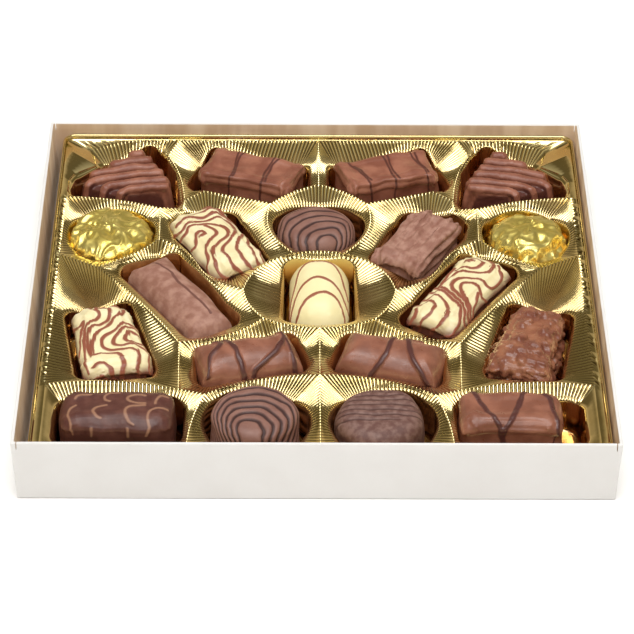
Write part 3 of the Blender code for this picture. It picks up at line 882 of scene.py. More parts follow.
# its line colour is painted shade in the furrowed sweet's grooves
FROSTED = ChocolateFinish(
    "frosted_coat", Slot.DUSKY, body=(0.120, 0.052, 0.042), mottle=(0.215, 0.12, 0.098),
    line=(0.060, 0.024, 0.020), line_half=0.32, line_blur=0.3, rough=0.5, mottle_scale=420.0)
MARBLED = ChocolateFinish(
    "marbled_coat", Slot.MARBLED, body=(0.80, 0.70, 0.41), mottle=(0.85, 0.76, 0.49),
    line=(0.27, 0.080, 0.046), line_half=0.76, line_blur=0.3, foot=(0.17, 0.058, 0.040), foot_top=15.3,
    rough=0.3)
IVORY = ChocolateFinish(
    "ivory_coat", Slot.WHITE, body=(0.84, 0.75, 0.42), mottle=(0.87, 0.79, 0.47),
    line=(0.30, 0.095, 0.05), line_half=0.8, rough=0.32, grain_height=0.00002)


@dataclass(frozen=True)
class FoilFinish:
    """Creased gold foil, more yellow than the tray."""

    slot: Slot = Slot.FOIL
    gold: Colour = (0.94, 0.80, 0.27)
    deep: Colour = (0.90, 0.72, 0.18)
    tone: Cloud = Cloud(90.0, 2.0, 0.3, 0.7)
    surface: Surface = Surface(0.27, 0.08, Cloud(250.0, 3.0, 0.3, 0.8), Cloud(350.0, 3.0), 0.00008, 0.85)

    def material(self) -> bpy.types.Material:
        """Make the foil's material."""
        graph = Graph("creased_foil")
        return self.surface.dress(graph, graph.mix(graph.eased(self.tone), self.gold, self.deep))


def smooth_line(corners: Line, steps: int = 6) -> np.ndarray:
    """Return points along a curve that passes through all its corners.

    Args:
        corners: The corners, in millimetres.
        steps: How many points there are from one corner to the next.

    Returns:
        The points, one to a row.
    """
    ends = np.array([corners[0], *corners, corners[-1]], dtype=float)
    share = (np.arange(steps) / steps)[:, None]
    parts = []
    for a, b, c, d in zip(ends, ends[1:], ends[2:], ends[3:]):
        parts.append(0.5 * (2 * b + (c - a) * share + (2 * a - 5 * b + 4 * c - d) * share ** 2
                            + (3 * b - a - 3 * c + d) * share ** 3))
    return np.vstack([*parts, ends[-1:]])


def shifted(lines: Sequence[Line], along: float, across: float) -> tuple[Line, ...]:
    """Return some lines moved along and across, in millimetres."""
    return tuple(tuple((x + along, y + across) for x, y in line) for line in lines)


def gap_to_lines(points: np.ndarray, lines: Sequence[Line]) -> np.ndarray:
    """Return how far each flat point is from the nearest of some curves."""
    nearest = np.full(len(points), 9.0)
    for corners in lines:
        curve = smooth_line(corners)
        for a, b in zip(curve, curve[1:]):
            way = b - a
            share = np.clip((points - a) @ way / max(way @ way, 1e-9), 0.0, 1.0)
            nearest = np.minimum(nearest, np.linalg.norm(points - a - share[:, None] * way, axis=1))
    return nearest


def waves(points: np.ndarray, length: float, seed: int, count: int = 18) -> np.ndarray:
    """Return a smooth random field.

    Args:
        points: Where it is wanted, in millimetres.
        length: The length of its waves in millimetres.
        seed: Which of its kind it is.
        count: How many plane waves make it up.

    Returns:
        Values that mostly lie between -1 and 1.
    """
    draw = np.random.default_rng(seed)
    field_sum = np.zeros(len(points))
    for _ in range(count):
        way = draw.normal(size=points.shape[1])
        way *= 2 * math.pi / (length * draw.uniform(0.7, 1.5) * np.linalg.norm(way))
        field_sum += np.cos(points @ way + draw.uniform(0, 2 * math.pi))
    return field_sum / math.sqrt(count)


def eased(value: np.ndarray, low: float, high: float) -> np.ndarray:
    """Rise smoothly from 0 at low to 1 at high."""
    share = np.clip((value - low) / (high - low), 0.0, 1.0)
    return share * share * (3 - 2 * share)


def on_top(edge: bmesh.types.BMEdge, height: float) -> bool:
    """Say whether an edge lies at the top of a body of that height."""
    return all(vert.co.z > height * 0.9 for vert in edge.verts)


@dataclass
class Sweet:
    """One sweet, in its own axes: x along it, y across it and z up from its foot.

    Its lines are drawn on its skin laid flat: beyond the top's edge they run down the side.
    """

    number: int
    turn: float
    size: tuple[float, float, float]
    finish: ChocolateFinish | FoilFinish = MILK
    shift: tuple[float, float] = (0.0, 0.0)
    corner: float = 5.0              # the upright edges' radius, or 0 for a round sweet
    edge: float = 4.0
    arch: float = 0.0                # the long top edges' radius on a half round log
    crown: float = 0.6
    flare: float = 0.04
    relief: float = 0.35             # how far the lines rise
    relief_half: float = 0.9
    unevenness: float = 0.35
    swell: float = 14.0              # the unevenness's wave length
    wobble: float = 0.12             # of the lines
    wobble_length: float = 5.0
    taper: float = 0.0
    voxel: float = 0.42
    smoothing: int = 6
    lines: tuple[Line, ...] = ()
    ridges: tuple[Line, ...] = ()    # raised, but of the coat's own colour
    ridge: float = 1.0
    ridge_half: float = 1.7

    def block(self) -> bpy.types.Object:
        """Model the plain body: a block, its upright or long top edges bevelled before the others."""
        length, width, height = (side * MM for side in self.size)
        deselect_all()
        bpy.ops.mesh.primitive_cube_add(size=1.0, location=(0, 0, height / 2),
                                        scale=(length, width, height))
        body = bpy.context.active_object
        bpy.ops.object.transform_apply(location=True, rotation=True, scale=True)
        if self.arch:
            with editing(body, Kind.EDGE, lambda edge: on_top(edge, height)
                         and abs(edge.verts[0].co.x - edge.verts[1].co.x) > length * 0.5):
                bpy.ops.mesh.bevel(offset=self.arch * MM, segments=10)
            with editing(body, Kind.EDGE, lambda edge: edge.calc_face_angle(0.0) > 1.3
                         and max(v.co.z for v in edge.verts) > height * 0.05):
                bpy.ops.mesh.bevel(offset=self.edge * MM, segments=4)
            return body
        with editing(body, Kind.EDGE,
                     lambda edge: abs(edge.verts[0].co.z - edge.verts[1].co.z) > height * 0.5):
            bpy.ops.mesh.bevel(offset=self.corner * MM, segments=8)
        with editing(body, Kind.EDGE, lambda edge: on_top(edge, height)):
            bpy.ops.mesh.bevel(offset=self.edge * MM, segments=6)
        return body

    def round_block(self) -> bpy.types.Object:
        """Model a plain round body, its top edge bevelled."""
        length, width, height = (side * MM for side in self.size)
        deselect_all()
        bpy.ops.mesh.primitive_cylinder_add(vertices=72, radius=0.5, depth=1.0, location=(0, 0, height / 2),
                                            scale=(length, width, height))
        body = bpy.context.active_object
        bpy.ops.object.transform_apply(location=True, rotation=True, scale=True)
        with editing(body, Kind.EDGE, lambda edge: on_top(edge, height)):
            bpy.ops.mesh.bevel(offset=self.edge * MM, segments=8)
        return body

    def refine(self, body: bpy.types.Object) -> None:
        """Give the body an even, dense skin."""
        applied(body, "REMESH", mode="VOXEL", voxel_size=self.voxel * MM)
        applied(body, "SMOOTH", factor=0.5, iterations=self.smoothing)

    def skin(self, body: bpy.types.Object) -> tuple[np.ndarray, np.ndarray]:
        """Return the body's points in millimetres and their normals."""
        count = len(body.data.vertices)
        points, normals = np.empty(count * 3), np.empty(count * 3)
        body.data.vertices.foreach_get("co", points)
        body.data.vertices.foreach_get("normal", normals)
        return points.reshape(-1, 3) / MM, normals.reshape(-1, 3)

    def laid_flat(self, points: np.ndarray, normals: np.ndarray) -> np.ndarray:
        """Return where each point lies on the skin laid flat."""
        level = np.linalg.norm(normals[:, :2], axis=1)
        outward = normals[:, :2] / np.maximum(level, 1e-6)[:, None]
        drop = (self.size[2] - points[:, 2]) * eased(level, 0.15, 0.8)
        return points[:, :2] + outward * drop[:, None]

    def shaped(self, points: np.ndarray) -> np.ndarray:
        """Return the body's points with its crown, flare, taper and unevenness."""
        length, width, height = self.size
        sculpted = points.copy()
        rise = points[:, 2] / height
        across = np.clip((points[:, 0] / length) ** 2 + (points[:, 1] / width) ** 2, 0, 0.5)
        sculpted[:, 2] -= self.crown * across * 4 * rise
        sculpted[:, :2] *= (1 + self.flare * (1 - rise) ** 2)[:, None]
        sculpted[:, 1] *= 1 + self.taper * points[:, 0] / length
        for axis in range(3):
            swell = waves(points, self.swell, 31 * self.number + axis)
            sculpted[:, axis] += self.unevenness * swell * np.clip(rise * 2, 0, 1)
        return sculpted

    def detail(self, points: np.ndarray, flat: np.ndarray, gap: np.ndarray) -> np.ndarray:
        """Return how far each point rises along its normal: here, its lines' and ridges' relief."""
        rise = self.relief * np.sqrt(np.clip(1 - (gap / self.relief_half) ** 2, 0, 1))
        if self.ridges:
            rise += self.ridge * eased(gap_to_lines(flat, self.ridges), self.ridge_half, 0.0)
        return rise

    def build(self) -> bpy.types.Object:
        """Model, sculpt, dress and place the sweet."""
        body = self.round_block() if self.corner <= 0 else self.block()
        self.refine(body)
        return self.finished(body)

    def finished(self, body: bpy.types.Object) -> bpy.types.Object:
        """Sculpt, dress and place a refined body."""
        points, normals = self.skin(body)
        flat = self.laid_flat(points, normals)
        flat = flat + self.wobble * np.column_stack(
            [waves(flat, self.wobble_length, seed) for seed in (self.number, self.number + 50)])
        gap = self.line_gap(points, flat)
        sculpted = self.shaped(points) + normals * self.detail(points, flat, gap)[:, None]
        sculpted[:, 2] = np.where(points[:, 2] < 0.3, 0.0, np.maximum(sculpted[:, 2], 0.0))
        low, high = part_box(f"praline_{self.number:02d}")
        angle = math.radians(self.turn)
        spin = np.array(((math.cos(angle), math.sin(angle)), (-math.sin(angle), math.cos(angle))))
        middle = (low + high) / 2
        spot = (middle.x + self.shift[0] * MM, middle.y + self.shift[1] * MM)
        placed = sculpted * MM
        placed[:, :2] = sculpted[:, :2] @ spin * MM + spot
        placed[:, 2] += low.z
        body.data.vertices.foreach_set("co", placed.ravel())
        store(body.data, "line_gap", "POINT", gap.astype(np.float32))
        body.data.shade_smooth()
        body.data.update()
        body.name = f"sweet_{self.number:02d}"
        body.data.materials.clear()
        body.data.materials.append(self.finish.material())
        return body

    def line_gap(self, points: np.ndarray, flat: np.ndarray) -> np.ndarray:
        """Return each point's distance from the nearest line."""
        return gap_to_lines(flat, self.lines)


@dataclass
class Arched(Sweet):
    """A sweet under nested arches with straight legs, and a groove between each two."""

    focus: tuple[float, float] = (-2.8, -15.0)
    pitch: tuple[float, float] = (1.8, 3.1)
    wide_side: float = 1.0
    groove: float = 0.55
    core: float = 0.4                # how many pitches wider the innermost arch is

    def rings(self, flat: np.ndarray) -> tuple[np.ndarray, float]:
        """Return how many arches out each point is, and the arches' mean pitch."""
        off = flat - self.focus
        across = np.where(off[:, 0] > 0, self.pitch[0] * self.wide_side, self.pitch[0])
        out = np.hypot(off[:, 0] / across, np.maximum(off[:, 1], 0) / self.pitch[1])
        return out - self.core + 0.05 * waves(flat, 9.0, self.number + 7), float(np.mean(self.pitch))

    def line_gap(self, points: np.ndarray, flat: np.ndarray) -> np.ndarray:
        """Return each point's distance from the nearest groove, which is painted dark as shade."""
        out, pitch = self.rings(flat)
        return np.abs(out - np.maximum(np.round(out), 1)) * pitch

    def detail(self, points: np.ndarray, flat: np.ndarray, gap: np.ndarray) -> np.ndarray:
        """Return the arches' rounded backs."""
        half = np.mean(self.pitch) / 2
        return -self.groove * np.clip(1 - gap / half, 0, 1) ** 1.6


@dataclass
class Furrowed(Arched):
    """A sweet with straight ridges across the back of its top."""

    smooth_from: float = -6.0

    def line_gap(self, points: np.ndarray, flat: np.ndarray) -> np.ndarray:
        """Return each point's distance from the nearest groove, which is painted dark as shade; the front
        has no grooves.
        """
        on, pitch = self.rings(flat)
        front = eased(flat[:, 1], self.smooth_from, self.smooth_from - 1.5)
        return np.abs(on - np.round(on)) * pitch + 9.0 * front

    def rings(self, flat: np.ndarray) -> tuple[np.ndarray, float]:
        """Return how many ridges on each point is, and their pitch."""
        on = (flat[:, 1] + 0.06 * flat[:, 0]) / self.pitch[1]
        return on + 0.06 * waves(flat, 11.0, self.number + 7), self.pitch[1]


@dataclass
class Foiled(Sweet):
    """A round sweet in creased foil with a pleated skirt.

    Its folds, rays and crumples each have a wave length and a depth in millimetres.
    """

    folds: tuple[float, float] = (12.0, 1.0)
    rays: tuple[float, float] = (6.0, 0.5)
    crumples: tuple[float, float] = (5.0, 0.5)
    pleats: int = 9                  # round half the skirt
    pleat_depth: float = 0.9

    def detail(self, points: np.ndarray, flat: np.ndarray, gap: np.ndarray) -> np.ndarray:
        """Return the foil's creases and pleats."""
        radius, height = self.size[0] / 2, self.size[2]
        angle = np.arctan2(points[:, 1], points[:, 0])
        out = np.hypot(points[:, 0], points[:, 1]) / radius
        crease = np.zeros(len(points))
        fan = np.column_stack((np.cos(angle) * 9, np.sin(angle) * 9, out * 3))
        for seed, (place, length, depth) in enumerate(
                ((points, *self.folds), (fan, *self.rays), (points, *self.crumples)), start=1):
            crease -= depth * np.abs(waves(place, length, 100 * self.number + seed))
        ring = np.column_stack((np.cos(angle) * 6, np.sin(angle) * 6))
        pleat = np.abs(np.sin(self.pleats * angle + 1.2 * waves(ring, 7.0, self.number)))
        skirt = eased(out, 0.72, 0.98) * eased(points[:, 2], height * 0.95, height * 0.6)
        return crease + 0.5 - skirt * self.pleat_depth * (1 - pleat)


@dataclass
class Nutty(Sweet):
    """A bar of chopped nuts under chocolate."""

    nuts: int = 120
    nut: tuple[float, float] = (1.4, 2.6)    # the least and greatest half width

    def build(self) -> bpy.types.Object:
        """Model the bar, press nuts into its skin, then finish it."""
        body = self.block()
        length, width, height = self.size
        draw = np.random.default_rng(self.number)
        tree = BVHTree.FromObject(body, bpy.context.evaluated_depsgraph_get())
        spots = []
        while len(spots) < self.nuts:
            way = Vector(draw.normal(size=3))
            start = Vector((draw.uniform(-0.4, 0.4) * length, 0, draw.uniform(0.3, 0.7) * height)) * MM
            hit = tree.ray_cast(start, way.normalized())[0]
            if hit and hit.z > 0.001:
                spots.append(hit)
        nuts = []
        for spot in spots:
            deselect_all()
            bpy.ops.mesh.primitive_ico_sphere_add(
                subdivisions=2, radius=1.0, location=spot,
                scale=tuple(draw.uniform(*self.nut, size=3) * MM), rotation=tuple(draw.uniform(0, 3,
                                                                                               size=3)))
            nuts.append(bpy.context.active_object)
        joined(body, nuts)
        self.refine(body)
        return self.finished(body)

    def detail(self, points: np.ndarray, flat: np.ndarray, gap: np.ndarray) -> np.ndarray:
        """Return the coat's small lumps."""
        return 0.25 * waves(points, 3.0, self.number)


@dataclass
class Bark(Sweet):
    """A bar with a rough skin of long ridges."""

    def detail(self, points: np.ndarray, flat: np.ndarray, gap: np.ndarray) -> np.ndarray:
        """Return the long, broken ridges."""
        squeezed = np.column_stack((points[:, 0] / 7, flat[:, 1]))
        ridges = 0.85 * np.abs(waves(squeezed, 6.5, self.number)) + 0.25 * waves(squeezed, 2.4,
                                                                                 self.number + 1)
        return ridges - 0.5


@dataclass
class Roped(Sweet):
    """A three-cornered sweet under six thick ropes of chocolate that bend down its front.

    Its body is the hull of some cones: each one's place as shares of the length and width, its top
    radius, and how far it stays below the sweet's height.
    """

    side: int = 1                    # 1 where the ropes bend down on the left, -1 on the right
    ropes: int = 6
    rope: float = 1.95
    rope_lift: float = 1.1           # of a rope's middle over the body
    pitch: float = 4.9
    reach: float = 19.0              # of the ropes from the middle, to either side
    steps: int = 60
    cones: tuple[tuple[float, float, float, float], ...] = (
        (-0.42, -0.02, 2.6, 5.5), (0.30, -0.30, 4.2, 3.2), (0.15, 0.29, 3.4, 3.0), (-0.08, -0.32, 3.4, 4.0))

    def build(self) -> bpy.types.Object:
        """Model the body and its ropes, then finish them as one."""
        length, width, height = self.size
        bm = bmesh.new()
        for u, v, radius, drop in self.cones:
            tall = height - drop
            bmesh.ops.create_cone(
                bm, cap_ends=True, segments=24, radius1=(radius + 1.5) * MM, radius2=radius * MM,
                depth=tall * MM,
                matrix=Matrix.Translation((u * length * self.side * MM, v * width * MM, tall / 2 * MM)))
        hull = bmesh.ops.convex_hull(bm, input=bm.verts)
        bmesh.ops.delete(bm, geom=[g for g in hull["geom_interior"] if isinstance(g, bmesh.types.BMVert)],
                         context="VERTS")
        mesh = bpy.data.meshes.new("roped_body")
        bm.to_mesh(mesh)
        bm.free()
        body = linked("roped_body", mesh)
        tree = BVHTree.FromObject(body, bpy.context.evaluated_depsgraph_get())
        joined(body, [self.strand(tree, rank) for rank in range(self.ropes)])
        self.refine(body)
        return self.finished(body)

    def strand(self, tree: BVHTree, rank: int) -> bpy.types.Object:
        """Lay one rope over the body, front to back by rank, and return it as a mesh."""
        height = self.size[2]
        curve = bpy.data.curves.new("rope", "CURVE")
        curve.dimensions = "3D"
        curve.bevel_depth = self.rope * MM
        curve.bevel_resolution = 4
        curve.use_fill_caps = True
        draw = np.random.default_rng(10 * self.number + rank)
        course = []
        for k in range(self.steps + 1):
            x = -self.reach + 2 * self.reach * k / self.steps
            y = float(self.rope_middle(rank, x))
            hit = tree.ray_cast(Vector((x * self.side, y, height + 5)) * MM, Vector((0, 0, -1)))[0]
            if hit:
                course.append((x * self.side, y, hit.z / MM + self.rope_lift + 0.05 * draw.normal()))
        if course:
            first, last = course[0], course[-1]
            course = [(first[0] - 0.9 * self.side, first[1] - 0.7, first[2] - 4.5), *course,
                      (last[0] + 0.5 * self.side, last[1], last[2] - 3.0)]
        spline = curve.splines.new("POLY")
        spline.points.add(len(course) - 1)
        for point, place in zip(spline.points, course):
            point.co = (*(value * MM for value in place), 1.0)
        strand = take(linked("rope", curve))
        bpy.ops.object.convert(target="MESH")
        return strand

    def rope_middle(self, rank: int, x: np.ndarray | float) -> np.ndarray | float:
        """Return how far across a rope's middle lies, at each place along it."""
        across = self.pitch * (rank - 2.4)
        return across - 4.0 * eased(1.8 - 1.2 * (across + 13.1) - x, 0.0, 8.0) - 0.04 * x

    def line_gap(self, points: np.ndarray, flat: np.ndarray) -> np.ndarray:
        """Return small values between the ropes and on the body round them, where the coat is painted
        darker as shade.
        """
        along = points[:, 0] * self.side
        offs = [np.abs(points[:, 1] - self.rope_middle(rank, along)) for rank in range(self.ropes)]
        return np.clip(self.rope + 0.45 - np.min(offs, axis=0), 0.0, None)

    def shaped(self, points: np.ndarray) -> np.ndarray:
        """Return the points with a little unevenness alone."""
        return points + 0.18 * np.column_stack([waves(points, 9.0,
                                                      self.number + axis) for axis in range(3)])

    def detail(self, points: np.ndarray, flat: np.ndarray, gap: np.ndarray) -> np.ndarray:
        """Return the ropes' fine wrinkles."""
        return 0.04 * waves(points, 1.8, self.number)


# Lines on the marbled sweets' skins laid flat, in millimetres
MARBLE_06 = (
    ((-19.2, 3.3), (-18.1, 6), (-16.1, 8.6), (-13.7, 10.2)),
    ((-16.9, -3.6), (-17, -1), (-16.2, 1.8), (-15.9, 4.8), (-15, 7.3), (-12.6, 9.3), (-9.2, 10.3),
     (-7, 13)),
    ((-14, -10.8), (-15, -7), (-14.8, -3.6), (-13.4, -0.8), (-13.2, 2), (-13.2, 5), (-12.3, 7.7),
     (-10, 9.4),
     (-6.6, 10.5), (-4, 14)),
    ((-13.8, -17), (-10.8, -13), (-9.7, -9.8), (-11.5, -7.3), (-12.1, -4.6), (-11.5, -1.7), (-10.5, 1),
     (-10.1, 3.7),
     (-9.4, 6.2), (-7.5, 8.2), (-4.4, 8.9), (-1, 8.4), (1.9, 6.7), (5.4, 3.3), (8.3, 0.2), (10.6, -2.2),
     (13.6, -3.3), (16.5, -3.4), (20.7, -2.8), (25, -0.2)),
    ((-7.3, -16.5), (-7.5, -13.5), (-7, -9.5), (-9.2, -6.8), (-9.5, -3.8), (-9, -1.2), (-7.7, 1.1),
     (-5.8, 2.6),
     (-3.3, 4.3), (-0.3, 4.8), (2.5, 3.3), (4.4, 0.8), (6, -1.8), (7.9, -4.3), (10.8, -6.3), (15, -8.1),
     (19.4, -9.6), (23, -8.5), (26, -6)),
    ((-7.6, -1.2), (-4.8, 0), (-2, 0.2), (0.3, -1), (1.8, -3.1), (3.8, -5.4), (7.5, -7.7), (12.2, -9.8),
     (14.5, -12.7), (17, -15)),
    ((0.9, -14), (1.6, -10.3), (-1.8, -8.3), (-3.7, -6.2), (-3.8, -4.5), (-2.2, -4.5), (-1.6, -5.9)),
    ((2, 14), (2.1, 10.9), (4.6, 8.2), (8.3, 5.2), (11.6, 2.8), (14.8, 2.2), (18.7, 1.8), (22.5, 3),
     (25.5, 5)),
    ((5, 15), (4.7, 12.1), (8, 9.7), (11.2, 7.9), (14.4, 7.2), (17.6, 7), (20.7, 7.5), (24.5, 8.5)),
    ((9, 15.5), (12, 11.8), (17.4, 10.4), (22, 11)),
)
MARBLE_12 = (
    ((17.9, 6.5), (19.5, 4.5), (19.7, 2), (18.6, 0.2), (15.8, 0.4), (13.6, 2.3), (12.5, 4.9), (10, 7)),
    ((17, 5.8), (17.6, 4.2)),
    ((24, 3.5), (22.5, 0.3), (21.6, -1.9), (19.5, -3.8), (16.8, -4.5), (14.2, -3.8), (12.5, -1.2),
     (10.8, 1.9),
     (9, 4.4), (6.4, 5.6), (3.3, 6.2), (0, 8)),
    ((20.5, -5.5), (18.4, -7.8), (16.1, -9.8), (13.3, -10.6), (10.1, -10.6), (7.8, -9.6), (7.4, -7.6),
     (7.6, -4.8),
     (7.2, -1.9), (6.1, 0.7), (4.2, 2.6), (2, 3.5), (-0.7, 3.1), (-2.4, 1.1), (-3.6, -1.7), (-5.6, -4.7),
     (-8.2, -7.8), (-11.7, -10.5), (-13, -13.5)),
    ((2.6, -15), (0.7, -10), (3.1, -6.6), (3.8, -3.4), (3.1, -0.9), (1.5, -0.1), (-1.1, -1.6), (-4.2, -4.9),
     (-7.3, -8.6), (-10.6, -12), (-11, -15)),
    ((0.9, -7.2), (-3, -9.2), (-7.1, -11), (-9, -14)),
    ((-6.8, 10), (-6.8, 7.1), (-5.5, 5.5), (-5.5, 2.7), (-6.8, -0.5), (-8.9, -3.5), (-12.1, -6.5),
     (-16.2, -9),
     (-20.2, -10.6), (-24.5, -11), (-27.1, -8.6), (-29, -6)),
    ((-3.5, 9.5), (-3.5, 6.3), (-3.9, 3), (-4.9, -0.3), (-6.9, -3.5), (-10, -6.9), (-13.8, -10.1),
     (-16, -13)),
    ((-12.8, 10), (-12.4, 7.5), (-10, 6.6), (-9.2, 4.6), (-10.2, 1.5), (-12.8, -1.6), (-16.2, -3.9),
     (-19.4, -4.4),
     (-22.8, -3.9), (-26.1, -2), (-29.3, -1)),
    ((-17, 10), (-16.7, 7.3), (-14, 6.2), (-13.7, 4.5), (-15.2, 2.8), (-18.1, 2.1), (-21.5, 2.4),
     (-25, 3.4),
     (-30, 4.4)),
    ((-19, 7.8), (-22, 7.4), (-25.1, 8.1), (-29, 9)),
    ((12, 8.5), (6, 8.4), (0, 7.8), (-3.5, 7.6)),
)
MARBLE_13 = (
    ((-17, -4), (-14, -3.5), (-12, -1.5), (-10, -1.2), (-7.7, -3.1), (-5.7, -5.9), (-2.4, -8), (2.2, -9),
     (6.9, -9.5), (12.1, -10.2), (17.9, -10.6), (23, -10.4)),
    ((-18, -1), (-14.6, -0.8), (-14.9, 1.8), (-12.9, 3.5), (-9.7, 3.4), (-6.2, 1), (-4.5, -2.1),
     (-2.9, -5.2),
     (0.5, -7.1), (4.1, -7.8), (9.9, -8.1), (14, -7.2)),
    ((-18, 4), (-15.5, 5.8), (-14.2, 8), (-12, 8.8), (-9.5, 7), (-6.5, 3.9), (-3.5, 1), (-1, -2.2),
     (2, -4.7),
     (6, -6.4), (10.3, -7.2), (13.7, -6.9), (13.1, -4.6), (13.6, -2), (15, 0.3), (17.4, 2), (20.4, 2.1),
     (22.3, 1.7), (26, 1), (29, 0.9)),
    ((19.9, -8.1), (19, -6.4), (18.8, -4.5), (20.1, -3.1), (22.4, -2.2), (27.5, -1.9)),
    ((26.5, -7.8), (25.2, -6.1), (26.8, -4.4)),
    ((-1.9, 14), (-1.9, 10.1), (-3.4, 8.7), (-3, 6.7), (-0.7, 4), (1.6, 1), (3.4, -1.6), (6.2, -3.1),
     (9.4, -3.1),
     (11.6, -0.9), (12.9, 2.5), (14.1, 5.4), (16.2, 7), (18.9, 7.2), (22.3, 6.6), (29, 6.2)),
    ((0.3, 13), (0, 10.6), (-0.6, 8.6), (0.1, 6.3), (2.5, 3.7), (5.8, 1.6), (8.8, 0.9), (10.6, 3.3),
     (10.6, 6.4),
     (11.5, 9), (14.4, 10.8), (18.6, 11.5), (23.9, 11.5), (29.6, 11.1)),
    ((4, 13), (3.4, 9.7), (1.9, 8.1), (3.7, 6.4), (6.6, 5.3), (8.8, 6), (8.9, 8.3), (9.6, 10), (10.5, 13)),
    ((-9, -16), (-6.2, -10.4), (-8.3, -8.1), (-6.2, -8.2), (-2.3, -9.7), (1.7, -10.9), (6, -11.8),
     (9, -14)),
)

